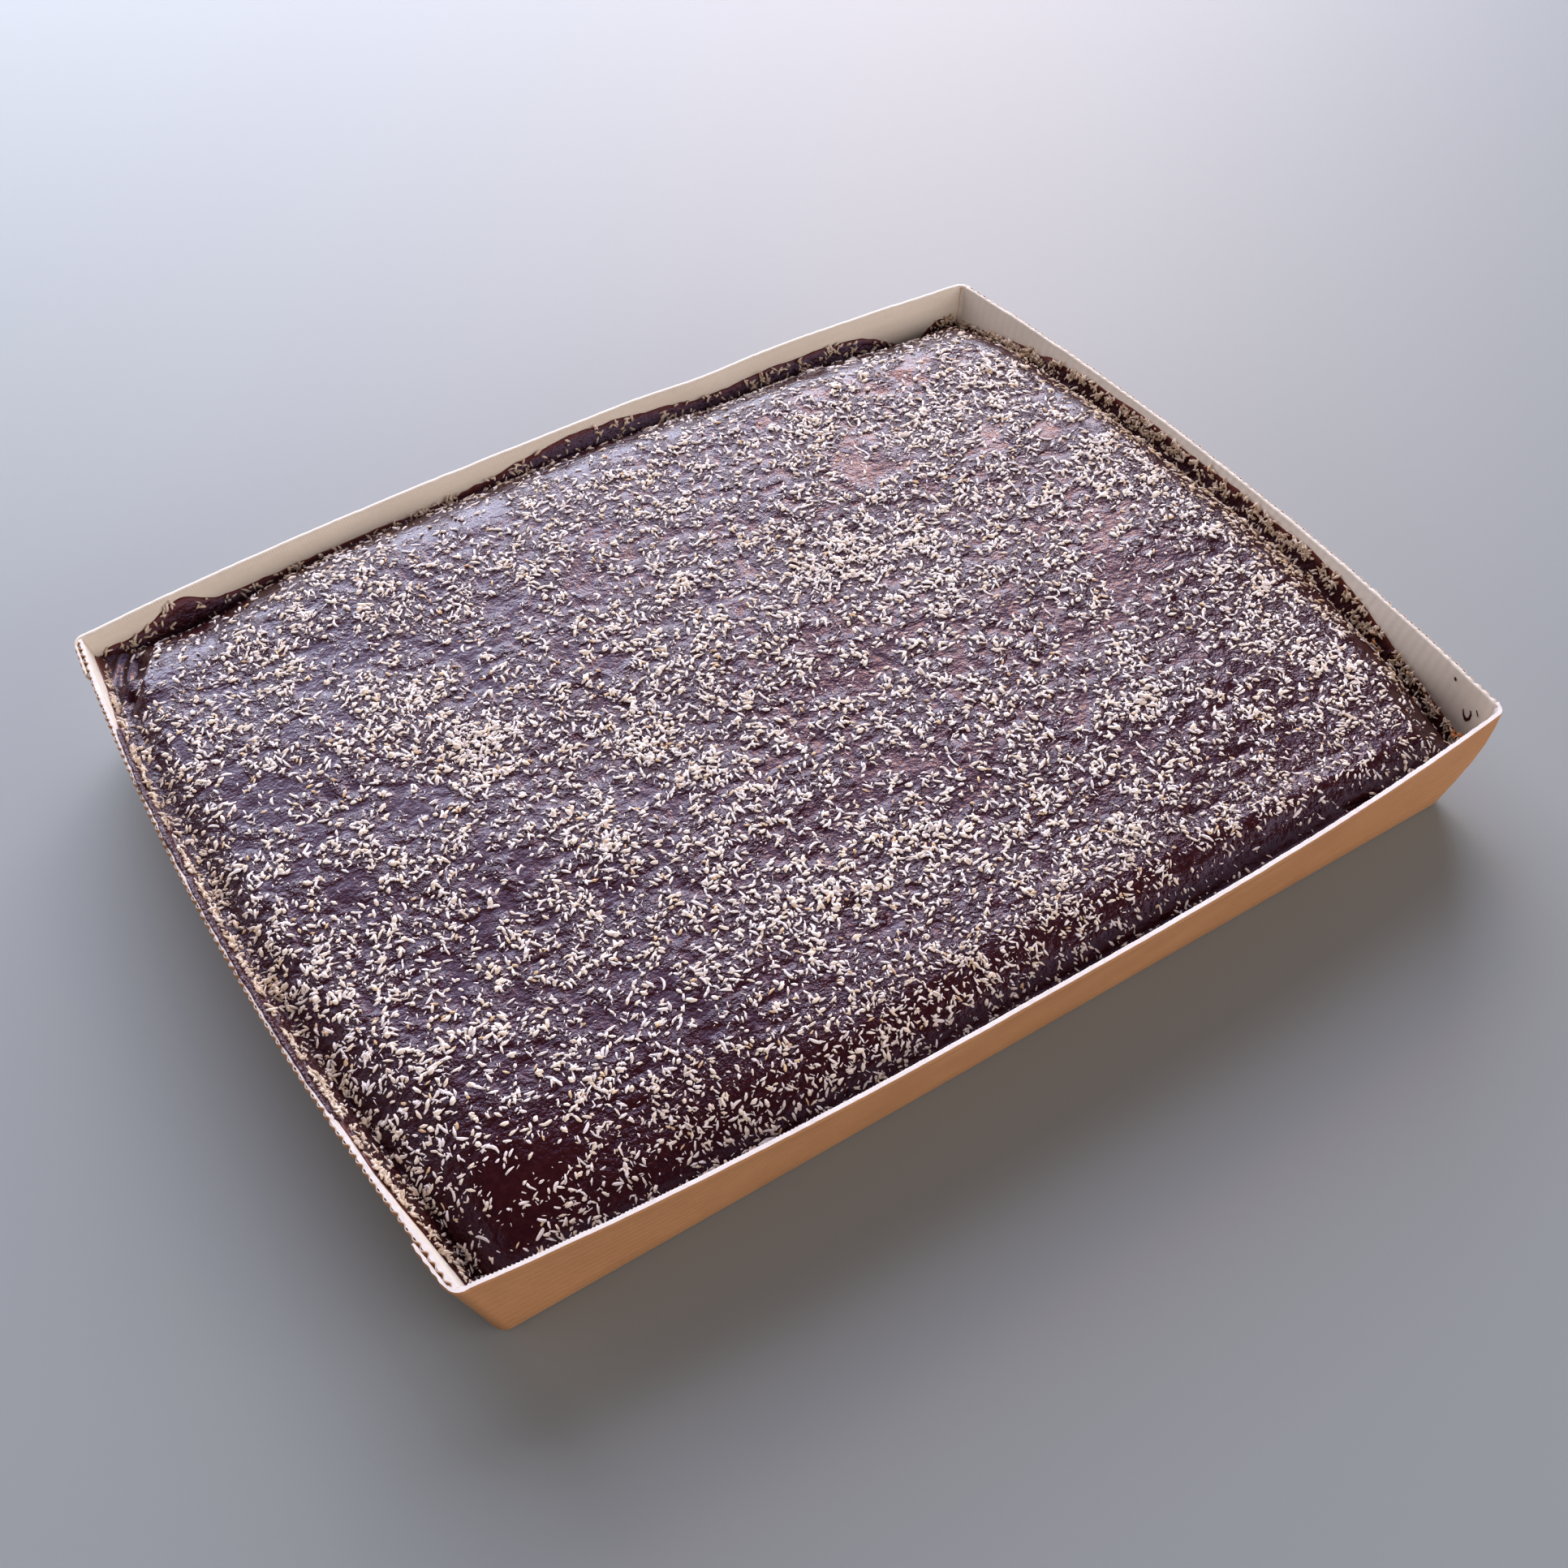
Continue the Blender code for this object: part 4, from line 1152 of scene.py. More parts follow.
def wall_axes(wall, count, seed, bias):
    """Axes for shreds that stick to the film on a wall. A bias under one puts more of them near its top."""
    random_source = np.random.default_rng(seed)
    is_long = wall in ("front", "back")
    sign = 1.0 if wall in ("right", "back") else -1.0
    half = (RIM_LENGTH if is_long else RIM_WIDTH) / 2.0 - WALL_END
    place = random_source.uniform(-half, half, 4 * count)
    level = random_source.uniform(0.0, 1.0, 4 * count) ** bias
    clumps = 0.5 + 0.5 * soft_noise(place, level * CLUMP_STRETCH, CLUMP_SIZE, seed)
    kept = clumps > random_source.uniform(0.3, 1.0, 4 * count)
    place, level = place[kept][:count], level[kept][:count]
    count = len(place)

    def wall_distance(z):
        return reach_y(place, z, wall == "back") if is_long else reach_x(place, z)

    rim = sign * wall_distance(GAUGE_HEIGHT)
    spot = (place, rim) if is_long else (rim, place)
    low, high = groove_height(*spot)[wall], wall_top(*spot)[wall]
    z = low + (high + PAST_TOP - low) * level
    aside = sign * (wall_distance(z) - WALL_FILM)
    if is_long:
        centre = np.stack([place, aside, z], -1)
        inward, run = np.array([0.0, -sign, 0.0]), np.array([1.0, 0.0, 0.0])
        lean = 0.5 * (RIM_WIDTH - BASE_WIDTH) / TRAY_HEIGHT + LONG_WALL_BOW / TRAY_HEIGHT
    else:
        centre = np.stack([aside, place, z], -1)
        inward, run = np.array([-sign, 0.0, 0.0]), np.array([0.0, 1.0, 0.0])
        lean = 0.5 * (RIM_LENGTH - BASE_LENGTH) / TRAY_HEIGHT + SHORT_WALL_BOW / TRAY_HEIGHT
    outward = (inward + np.array([0.0, 0.0, lean])) / math.hypot(1.0, lean)
    rising = np.cross(outward, run)
    turn = random_source.uniform(0.0, 2.0 * np.pi, count)
    along = run * np.cos(turn)[:, None] + rising * np.sin(turn)[:, None]
    outward = np.broadcast_to(outward, along.shape)
    return (centre, along, np.cross(outward, along), outward), np.zeros(count)


print("shreds stick to a film", round(1000 * WALL_FILM, 2), "mm thick")

# %% Shreds on the walls
# Wall, number, seed and bias
WALL_SHREDS = (("back", 600, 91, 1.0), ("right", 1350, 92, 0.8), ("left", 1300, 93, 0.8))
WALL_SHRED_SIZE = in_metres(((1.2, 2.8), (0.5, 0.95), (0.4, 0.7)))
WALL_SHRED_TILT = 0.45
for wall, number, wall_seed, wall_bias in WALL_SHREDS:
    shred_axes, shred_heap = wall_axes(wall, number, wall_seed, wall_bias)
    join_shreds(
        wall + "_wall_shreds", CREAM_FLESH, shred_axes, shred_heap, WALL_SHRED_SIZE, wall_seed + 100,
        tilt=WALL_SHRED_TILT,
    )

# %% [markdown]
# ## The larger flakes
#
# The plain model has the largest flakes fused to its cake, at places drawn from one seed. The same rule
# is repeated here, so that each visible flake lies where the solid one does. The solid ones are coarse
# blocks that had to be thick enough to fuse, so the visible ones are slimmer, and rounder.

# %% Larger flakes
FLAKES = 250
FLAKE_SPACING = 10.5 * MM
FLAKE_CLEARANCE = 7.0 * MM
FLAKE_LENGTH = (3.4 * MM, 5.2 * MM)
FLAKE_WIDTH = (1.2 * MM, 1.7 * MM)
FLAKE_THICKNESS = (0.8 * MM, 1.1 * MM)
FLAKE_SEED = 11
TRUE_SIZE = (0.8, 0.62, 0.62)
FLAKE_SIDES = 8
FLAKE_BEND = 0.18
FLAKE_LIFT = 0.2
FLAKE_ROUGHNESS = (0.82, 1.12)
# How strongly the larger flakes turn tan near the walls, as soaking and as painted shade
FLAKE_SOAK_AND_SHADE = 0.7
# A flake's rings as (place along its length, share of its full width)
FLAKE_RINGS = ((-0.5, 0.3), (-0.44, 0.62), (-0.2, 0.92), (0.1, 1.0), (0.34, 0.8), (0.46, 0.5), (0.5, 0.22))


def flake_places(draw):
    """Spots on the frosting, drawn at random and kept where none lies too near."""
    places = []
    while len(places) < FLAKES:
        x = draw.uniform(-RIM_LENGTH / 2.0, RIM_LENGTH / 2.0)
        y = draw.uniform(-RIM_WIDTH / 2.0, RIM_WIDTH / 2.0)
        if min(float(gap) for gap in gaps_to_walls(x, y).values()) < FLAKE_CLEARANCE:
            continue
        if any(math.hypot(x - other_x, y - other_y) < FLAKE_SPACING for other_x, other_y in places):
            continue
        places.append((x, y))
    return places


print("flakes lie at least", round(1000 * FLAKE_SPACING, 1), "mm apart")

# %% The flakes' mesh
def make_larger_flakes(material):
    """Flakes with eight rough sides at the plain model's places, drawn in the same order as there."""
    draw = random.Random(FLAKE_SEED)
    places = np.array(flake_places(draw))
    drawn = []
    for _ in places:
        length = draw.uniform(*FLAKE_LENGTH)
        width = draw.uniform(*FLAKE_WIDTH)
        thickness = draw.uniform(*FLAKE_THICKNESS)
        bend = draw.uniform(-FLAKE_BEND, FLAKE_BEND) * length
        lift = draw.uniform(0.0, FLAKE_LIFT) * thickness
        drawn.append((length, width, thickness, bend, lift, draw.uniform(0.0, math.pi)))
    length, width, thickness, bend, lift, heading = np.array(drawn).T
    length, width, thickness = length * TRUE_SIZE[0], width * TRUE_SIZE[1], thickness * TRUE_SIZE[2]
    centre, along, sideways, outward = surface_axes(places[:, 0], places[:, 1], heading)
    count, rings = len(places), len(FLAKE_RINGS)
    rough = np.random.default_rng(FLAKE_SEED).uniform(*FLAKE_ROUGHNESS, (rings, FLAKE_SIDES, count))
    points = np.empty((count, rings * FLAKE_SIDES, 3))
    for ring, (place, taper) in enumerate(FLAKE_RINGS):
        for side in range(FLAKE_SIDES):
            angle = 2.0 * np.pi * (side + 0.5) / FLAKE_SIDES
            out = 0.5 * width * taper * np.cos(angle) * rough[ring, side] + bend * (1.0 - 4.0 * place ** 2)
            high = 0.5 * thickness * taper * np.sin(angle) * rough[ring, side] + lift
            points[:, ring * FLAKE_SIDES + side] = (
                centre + along * (place * length)[:, None] + sideways * out[:, None] + outward * high[:, None]
            )
    mesh = mesh_from_arrays("larger_flakes", points.reshape(-1, 3), bar_faces(count, rings, FLAKE_SIDES))
    shades = np.random.default_rng(FLAKE_SEED + 1).uniform(0.0, 1.0, count)
    put_values(mesh, "shade", np.repeat(shades, rings * FLAKE_SIDES))
    put_values(mesh, "soak_and_shade", np.repeat(FLAKE_SOAK_AND_SHADE * soak_and_shade_share(*places.T), rings * FLAKE_SIDES))
    made = link_piece("larger_flakes", mesh, material)
    return made


print("made", make_larger_flakes(WHITE_FLESH).name, "at", FLAKES, "places")

# %% [markdown]
# ## Stray bits
#
# A few single things catch the eye: a white chip at the front that looks like paper, with a tan flake
# beside it, some orange crumbs in the front right corner, and two orange shreds on the right. They are
# shreds too, set one by one at the places where they lie.

# %% Strays
SPICED_CRUMB = make_coconut_finish("spiced_crumb", colour(206, 140, 84), colour(170, 96, 46))
# Strays as name, finish, heading in degrees, places in mm, and ranges of length, width and thickness in mm
STRAYS = (
    ("white_chip", WHITE_FLESH, 174.0, ((-81.9, -130.6),), ((5.6, 6.0), (2.1, 2.3), (0.3, 0.35))),
    ("tan_chip", TOASTED_FLESH, 20.0, ((-76.9, -133.0),), ((2.4, 2.6), (1.8, 2.0), (0.6, 0.7))),
    (
        "corner_crumbs", SPICED_CRUMB, 60.0, ((162.3, -120.9), (162.5, -119.2), (163.0, -121.7)),
        ((1.8, 2.4), (1.5, 2.0), (1.2, 1.6)),
    ),
    (
        "orange_shreds", SPICED_CRUMB, 80.0, ((164.8, -82.8), (165.2, -80.4), (164.4, -85.2)),
        ((1.8, 2.6), (0.7, 0.9), (0.5, 0.6)),
    ),
)
STRAY_LIFT = 0.2
for stray_name, flesh, degrees, spots, size_range in STRAYS:
    spot_x, spot_y = np.array(spots).T * MM
    spot_axes = surface_axes(spot_x, spot_y, np.radians(degrees) + 0.4 * np.arange(len(spot_x)))
    lifted = np.full(len(spot_x), STRAY_LIFT)
    join_shreds(stray_name, flesh, spot_axes, lifted, in_metres(size_range), 191, soak_and_shade_strength=0.0)

# %% [markdown]
# ## The board's finishes
#
# Corrugated board is three papers: a brown kraft liner outside, a waved medium, and here a cream liner
# on the food side. Where the knife cut it, its edges show almost white. The waves telegraph through the
# liners as faint stripes, along the long walls and upright on the short ones. A vertex value holds the
# distance across the waves, and a sine of it gives both the stripes and their bump.

# %% Board materials
FLUTE_PITCH = 3.3 * MM


def make_paper_finish(name, pale, deep, stripe, relief, rough):
    """Paper over waves. stripe is how strongly they show as colour, and relief their height."""
    material, shader, tree = new_finish(name, specular_ior_level=0.3)
    place = tree.node("TexCoord", output=3)
    flute = tree.node("Attribute", {"attribute_name": "flute"}, output=2)
    wave = 0.5 + 0.5 * tree.math("SINE", flute * (2.0 * math.pi / FLUTE_PITCH))
    fibres = tree.noise(tree.stretch(place, (500.0, 500.0, 1700.0)), 1.0, 4.0, 0.65)
    clouds = tree.noise(place, 38.0, 3.0)
    tone = (fibres * 0.8 + clouds * 0.75 - 0.28 + wave * stripe).clamp()
    plug(
        tree, shader,
        base_color=tone.mix(deep, pale),
        roughness=rough + 0.12 * fibres,
        normal=tree.bump(fibres, 0.05 * MM, 0.35, tree.bump(wave, relief)),
    )
    return material


KRAFT = make_paper_finish("kraft_liner", colour(190, 141, 98), colour(152, 104, 66), 0.12, 0.05 * MM, 0.72)
CREAM = make_paper_finish("cream_liner", colour(226, 215, 201), colour(206, 194, 178), 0.10, 0.04 * MM, 0.66)
CUT = make_paper_finish("cut_edge", colour(246, 240, 236), colour(220, 208, 200), 0.0, 0.02 * MM, 0.8)
TORN = make_paper_finish("torn_liner", colour(238, 218, 202), colour(198, 162, 126), 0.0, 0.02 * MM, 0.8)
# Paper for the gap between the liners, painted dark brown as the shade in the deep gap
SHADED_GAP_PAPER = make_paper_finish("gap_paper_painted_shade", colour(150, 104, 76), colour(96, 58, 40), 0.0, 0.02 * MM, 0.85)
BOARD_PAPERS = (KRAFT, CREAM, CUT, SHADED_GAP_PAPER, TORN)
OUTSIDE, INSIDE, EDGE, HOLLOW, LINER_EDGE = range(5)
print("papers:", [paper.name for paper in BOARD_PAPERS])

# %% [markdown]
# ## The walls as four boards
#
# The tray is one sheet, but its walls are easiest to see as four boards. A long wall goes round its
# corners. On the left it ends as a lap glued outside the short wall, and on the right no lap shows. Each
# board is a closed strip: its section goes up the outside, over the outer liner, down into the gap that
# the cut leaves between the liners, up again over the inner liner, and down the inside. Sweeping that
# section along the wall gives real cut edges and a real gap, without any texture, and the gap's paper is
# painted dark brown as its shade. A long wall was cut along its waves, so its edge is one pale band that
# tore into teeth. A short wall was cut across them, so there the outer liner is pressed in between the
# waves, and their ends gape.

# %% Plans of the walls
LONG_COUNT = 1000
SHORT_COUNT = 780
LAP_COUNT = 60
CORNER_COUNT = 8
HIDDEN_STUB = 0.5 * MM
LEAST_RADIUS = 0.25 * MM


def lap_reach(z):
    """How far a lap reaches along the short wall at height z."""
    return LAP_AT_BASE + (LAP_AT_RIM - LAP_AT_BASE) * z / TRAY_HEIGHT


def long_board_plan(is_back, z, inset):
    """Plan of a long wall with both corners, from the end of its left lap to just past the right one."""
    sign = 1.0 if is_back else -1.0
    across = half_width(z) - CORNER_RADIUS
    right_end = half_length(z) - CORNER_RADIUS
    right_kick = 0.0 if is_back else float(corner_kick(-half_width(z), z))
    turns = np.radians(np.linspace(0.0, 90.0, CORNER_COUNT + 2)[1:-1])
    radius = np.maximum(CORNER_RADIUS - inset, LEAST_RADIUS)
    thinner = inset * (1.0 - LAP_THICKNESS / BOARD) * np.cos(turns) ** 2
    left_y = np.linspace(half_width(z) - lap_reach(z), across, LAP_COUNT)
    left_x = short_wall(left_y, z, half_width(z)) + LAP_THICKNESS * (1.0 - inset / BOARD)
    left_turn_x = right_end + LAP_THICKNESS + (radius + thinner) * np.cos(turns)
    left_turn_y = across + (radius + thinner) * np.sin(turns)
    right_y = np.linspace(across - HIDDEN_STUB, across, LAP_COUNT)
    right_x = short_wall(right_y, z, half_width(z)) - inset
    right_x = right_x + (0.0 if is_back else corner_kick(-right_y, z))
    right_turn_x = right_end + right_kick + radius * np.cos(turns)
    right_turn_y = across + radius * np.sin(turns)
    wall_x = np.linspace(-right_end - LAP_THICKNESS, right_end, LONG_COUNT)
    wall_y = long_wall(wall_x, z, right_end, is_back) - inset
    moved = wall_x + right_kick * smooth_ramp(wall_x, right_end - KICK_REACH, right_end)
    x = np.concatenate([-left_x, -left_turn_x, moved, right_turn_x[::-1], right_x[::-1]])
    y = sign * np.concatenate([left_y, left_turn_y, wall_y, right_turn_y[::-1], right_y[::-1]])
    return x, y


def short_board_plan(is_right, z, inset):
    """Plan of a short wall, which runs between the long ones."""
    run = half_width(z) - (CORNER_RADIUS if is_right else WALL)
    y = np.linspace(-run, run, SHORT_COUNT)
    x = short_wall(y, z, half_width(z)) - inset
    if is_right:
        return x + corner_kick(y, z), y
    return -x, y


print("a long wall has", len(long_board_plan(False, TRAY_HEIGHT, 0.0)[0]), "places along it")

# %% A board's section
SLIT = 0.12 * MM
LINER = 0.30 * MM
GAP_DEPTH = 1.5 * MM
TORN_DEPTH = 1.6 * MM
RIM_WEAR = 0.22 * MM
PRESSED_DEPTH = 1.2 * MM
# How far in, and how far down, each liner's cut edge is rounded
OUTER_ROUND = (0.1 * MM, 0.25 * MM)
INNER_ROUND = (0.08 * MM, 0.3 * MM)
FOLD_TOP = 0.03
LEVELS = np.array([0.0, 0.012, FOLD_TOP, 0.2, 0.4, 0.6, 0.8, 0.93])


def board_rings(plan, thickness, hollow, scallops, wear, papers):
    """Rings of a board's section, with the paper of the strip that follows each.

    hollow holds where the gap between the liners starts and ends, or is None for a board that was
    cut along its waves, whose edge is one pale band. scallops says how far the outer liner is pressed
    in. These, and thickness, may differ along the wall. papers are those of the cut edge and of the
    torn strip inside it.
    """
    rings = []
    for share in LEVELS:
        z = share * TRAY_HEIGHT
        fold = FOLD * (1.0 - min(share / FOLD_TOP, 1.0)) ** 2
        rings.append((plan(z, fold), z, OUTSIDE))
    rim = TRAY_HEIGHT
    rings.append((plan(rim, 0.5 * scallops), rim - PRESSED_DEPTH, OUTSIDE))
    outer = rim - OUTER_ROUND[1] + wear
    rings.append((plan(rim, scallops), outer, OUTSIDE if hollow is None else LINER_EDGE))
    edge = papers[0] if hollow is None else LINER_EDGE
    rings.append((plan(rim, scallops + OUTER_ROUND[0]), rim + wear, edge))
    if hollow is not None:
        start, end = hollow
        rings.append((plan(rim, start), rim + wear, HOLLOW))
        rings.append((plan(rim, start), rim - GAP_DEPTH + wear, HOLLOW))
        rings.append((plan(rim, end), rim - GAP_DEPTH + wear, HOLLOW))
        rings.append((plan(rim, end), rim + wear, papers[0]))
    rings.append((plan(rim, thickness[0] - INNER_ROUND[0]), rim + wear, papers[1]))
    rings.append((plan(rim, thickness[0]), rim - INNER_ROUND[1] + wear, papers[1]))
    rings.append((plan(rim - TORN_DEPTH, thickness[1]), rim - TORN_DEPTH + wear, INSIDE))
    for share in LEVELS[::-1]:
        z = share * TRAY_HEIGHT
        rings.append((plan(z, thickness[1]), z, INSIDE))
    return rings


def make_wall_board(name, plan, thickness, hollow, scallops, seed, edge_papers):
    """A board swept from its rings, with a paper for each strip and the waves' places as a vertex value."""
    here_x, here_y = plan(TRAY_HEIGHT, 0.0)
    count = len(here_x)
    wear = 0.6 * soft_noise(here_x, here_y, 9.0 * MM, seed)
    wear = RIM_WEAR * (wear + 0.4 * soft_noise(here_x, here_y, 1.7 * MM, seed + 1))
    rings = board_rings(plan, thickness, hollow, scallops, wear, edge_papers)
    points = np.array([np.stack([x, y, np.broadcast_to(z, x.shape)], -1) for (x, y), z, _ in rings])
    total = len(rings)
    index = np.arange(total * count).reshape(total, count)
    next_ring = np.roll(index, -1, axis=0)
    strips = np.stack([index[:, :-1], index[:, 1:], next_ring[:, 1:], next_ring[:, :-1]], -1)
    ends = [index[:, 0][None, :], index[::-1, -1][None, :]]
    mesh = mesh_from_arrays(name, points.reshape(-1, 3), [strips.reshape(-1, 4)] + ends, smooth=False)
    made = link_piece(name, mesh, *BOARD_PAPERS)
    papers = np.repeat(np.array([paper for _, _, paper in rings]), count - 1)
    mesh.polygons.foreach_set("material_index", np.concatenate([papers, [EDGE, EDGE]]).astype(np.int32))
    mesh.polygons.foreach_set("use_smooth", np.concatenate([papers != EDGE, [False, False]]))
    run = np.concatenate([[0.0], np.cumsum(np.hypot(np.diff(here_x), np.diff(here_y)))])
    put_values(mesh, "flute", points[:, :, 2] if hollow is None else np.broadcast_to(run, (total, count)))
    bpy.context.view_layer.update()
    print(name, "has", total, "rings of", count, "points")
    return made

# %% Torn and crushed edges
TOOTH_PITCH = 1.05 * MM
TOOTH_HEIGHT = 0.85 * MM
TOOTH_BASE = 0.05 * MM
BACK_TOOTH_SHARE = 0.35
LAP_SCALLOP = 0.45 * MM
SCALLOP_DEPTH = 1.3 * MM
HOLE_WIDTH = 0.6 * MM
LEAST_HOLE = 0.03 * MM
SHORT_WALL_THICKNESS = WALL - 0.02 * MM


def along_noise(place, size, seed):
    """Soft noise along one line."""
    return soft_noise(place, place * 0.0, size, seed)


def toothed(plan_x, seed):
    """The torn inner side of a long wall's cut edge: soft teeth, uneven in depth."""
    share = np.abs((plan_x / TOOTH_PITCH) % 1.0 - 0.5) * 2.0
    uneven = 0.7 + 0.5 * along_noise(plan_x, 4.0 * MM, seed)
    return TOOTH_BASE + TOOTH_HEIGHT * uneven * share


def crushed_waves(y, seed):
    """Where the outer liner is pressed in between the waves, and how wide each wave's end gapes."""
    wave = np.cos(2.0 * np.pi * y / FLUTE_PITCH)
    uneven = 0.6 + 0.4 * along_noise(y, 6.0 * MM, seed)
    gape = np.clip(wave - 0.3, 0.0, 1.0) / 0.7 * (0.5 + 0.5 * along_noise(y, 4.0 * MM, seed + 1))
    return SCALLOP_DEPTH * (0.5 - 0.5 * wave) * uneven, LEAST_HOLE + HOLE_WIDTH * gape


print("waves' ends on a short wall:", round(2.0 * float(half_width(TRAY_HEIGHT)) / FLUTE_PITCH))

# %% The four boards
def long_board(name, is_back):
    """A long wall. Where an inset differs along it, the plan is read off between two plain ones."""
    def plan(z, inset):
        if np.ndim(inset) == 0:
            return long_board_plan(is_back, z, float(inset))
        near_x, near_y = long_board_plan(is_back, z, 0.0)
        far_x, far_y = long_board_plan(is_back, z, 1.0 * MM)
        share = inset / (1.0 * MM)
        return near_x + (far_x - near_x) * share, near_y + (far_y - near_y) * share

    rim_x, rim_y = plan(TRAY_HEIGHT, 0.0)
    torn = BOARD - SLIT - toothed(rim_x, 71) * (BACK_TOOTH_SHARE if is_back else 1.0)
    torn[:LAP_COUNT + CORNER_COUNT] = BOARD - SLIT
    pressed = np.zeros_like(torn)
    lap_y = rim_y[:LAP_COUNT]
    pressed[:LAP_COUNT] = LAP_SCALLOP * (0.5 - 0.5 * np.cos(2.0 * np.pi * lap_y / FLUTE_PITCH))
    papers = (INSIDE, INSIDE) if is_back else (EDGE, EDGE)
    return make_wall_board(name, plan, (torn, BOARD - SLIT), None, pressed, 73, papers)


def short_board(name, is_right):
    """A short wall. Only the left one shows the pale band inside its cut edge."""
    def plan(z, inset):
        return short_board_plan(is_right, z, inset)

    scallops, gape = crushed_waves(plan(TRAY_HEIGHT, 0.0)[1], 76)
    hollow = (LINER + scallops, LINER + scallops + gape)
    papers = (INSIDE if is_right else EDGE, INSIDE)
    thickness = (SHORT_WALL_THICKNESS, SHORT_WALL_THICKNESS)
    return make_wall_board(name, plan, thickness, hollow, scallops, 75, papers)


front_board = long_board("tray_front_wall", False)
long_board("tray_back_wall", True)
short_board("tray_left_wall", False)
short_board("tray_right_wall", True)
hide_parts("tray")

# %% [markdown]
# ## Smears
#
# A tray that has been filled by hand shows it. The knife wiped frosting over the left wall's edge, a
# fingertip left a small hook, a streak and a dot on the right wall, and the glue of one corner shows as
# a brown hairline. Each is a thin body of its own that lies on the board, because a painted mark would
# have no edge and no gloss.

# %% Thin bodies from rings
LINE_SIDES = 6
SMEAR_FILM = 0.1


def tube_from_rings(name, rings, *materials):
    """One closed body from an array of rings, each with the same number of points."""
    total, around = rings.shape[:2]
    index = np.arange(total * around).reshape(total, around)
    after = np.roll(index, -1, axis=1)
    strips = np.stack([index[:-1], after[:-1], after[1:], index[1:]], -1).reshape(-1, 4)
    mesh = mesh_from_arrays(name, rings.reshape(-1, 3), [strips, index[:1, ::-1], index[-1:]])
    put_values(mesh, "film", np.full(total * around, SMEAR_FILM))
    return link_piece(name, mesh, *materials)


def around_line(place_at):
    """Rings round a line, from a rule that gives the points at an angle round it."""
    rings = [place_at(angle) for angle in np.radians(np.arange(LINE_SIDES) * 360.0 / LINE_SIDES)]
    return np.array(rings).transpose(1, 0, 2)


print("a thin body has", LINE_SIDES, "points round its line")

# %% The glue in the back right corner
GLUE_WIDTH = 0.35 * MM
GLUE_SPAN = (20.0, 37.7)
GLUE_INSET = 0.2 * MM
GLUE_WANDER = 0.12 * MM
GLUE = make_paper_finish("glue_brown", colour(216, 172, 134), colour(184, 128, 88), 0.0, 0.02 * MM, 0.5)


def make_glue_line(material):
    """The brown hairline of glue down the inside of the back right corner."""
    z = np.linspace(*GLUE_SPAN, 30) * MM
    wander = GLUE_WANDER * along_noise(z, 3.0 * MM, 88)

    def place_at(angle):
        x = half_length(z) - WALL - GLUE_INSET + wander + GLUE_WIDTH * math.cos(angle)
        y = half_width(z) - BOARD - GLUE_INSET - wander + GLUE_WIDTH * math.sin(angle)
        return np.stack([x, y, z], -1)

    return tube_from_rings("glue_line", around_line(place_at), material)


glue_line = make_glue_line(GLUE)
print("made", glue_line.name)

# %% The smear on the left rim
SMEAR_FROM, SMEAR_TO = -72.0 * MM, 86.0 * MM
SMEAR_STEP = 0.6 * MM
# Its section as (distance from the wall's outside, height over the rim), in mm. What lies nearer to the
# outside than the board's thickness is on the cut edge, and thins out towards the smear's ends.
SMEAR_SECTION = (
    (0.95, 0.0), (1.15, 0.2), (1.6, 0.26), (2.15, 0.0),
    (2.6, -0.9), (2.5, -3.2), (1.8, -3.2), (1.8, -0.1),
)
ON_THE_EDGE = 1.8


def make_rim_smear():
    """Frosting that was wiped over the left wall's cut edge and a little down its inside."""
    y = np.arange(SMEAR_FROM, SMEAR_TO, SMEAR_STEP)
    fade = (y - SMEAR_FROM) * (SMEAR_TO - y) / (SMEAR_TO - SMEAR_FROM) ** 2 * 12.0
    fade = np.sqrt(np.clip(fade, 0.02, 1.0))
    ragged = 0.25 * MM * along_noise(y, 2.4 * MM, 86) + 0.2 * MM * along_noise(y, 8.0 * MM, 87)
    rings = []
    for inset, rise in SMEAR_SECTION:
        if inset < ON_THE_EDGE:
            shown = (WALL + (inset * MM - WALL) * fade) + ragged
        else:
            shown = inset * MM + 0.5 * ragged
        x = -(short_wall(y, TRAY_HEIGHT + min(rise, 0.0) * MM, half_width(TRAY_HEIGHT)) - shown)
        z = TRAY_HEIGHT + rise * MM * (fade if rise > 0.0 else np.ones_like(y))
        rings.append(np.stack([x, y, z], -1))
    return tube_from_rings("rim_smear", np.array(rings).transpose(1, 0, 2), chocolate)


rim_smear = make_rim_smear()
print("made", rim_smear.name)

# %% The marks on the right wall
# Marks as points (y, z, width), in mm
WALL_MARKS = {
    "hook_mark": (
        (-117.0, 27.6, 0.5), (-117.8, 25.9, 0.9), (-118.9, 24.8, 1.3),
        (-119.9, 25.9, 1.1), (-120.0, 27.6, 0.8), (-119.4, 28.8, 0.4),
    ),
    "streak_mark": ((-121.3, 30.5, 0.2), (-121.9, 29.5, 0.5), (-122.5, 28.7, 0.2)),
    "dot_mark": ((-110.9, 35.2, 0.4), (-111.3, 34.8, 1.1), (-111.7, 34.4, 0.5)),
}
MARK_RISE = 0.1 * MM
MARK_THICKNESS = 0.2 * MM


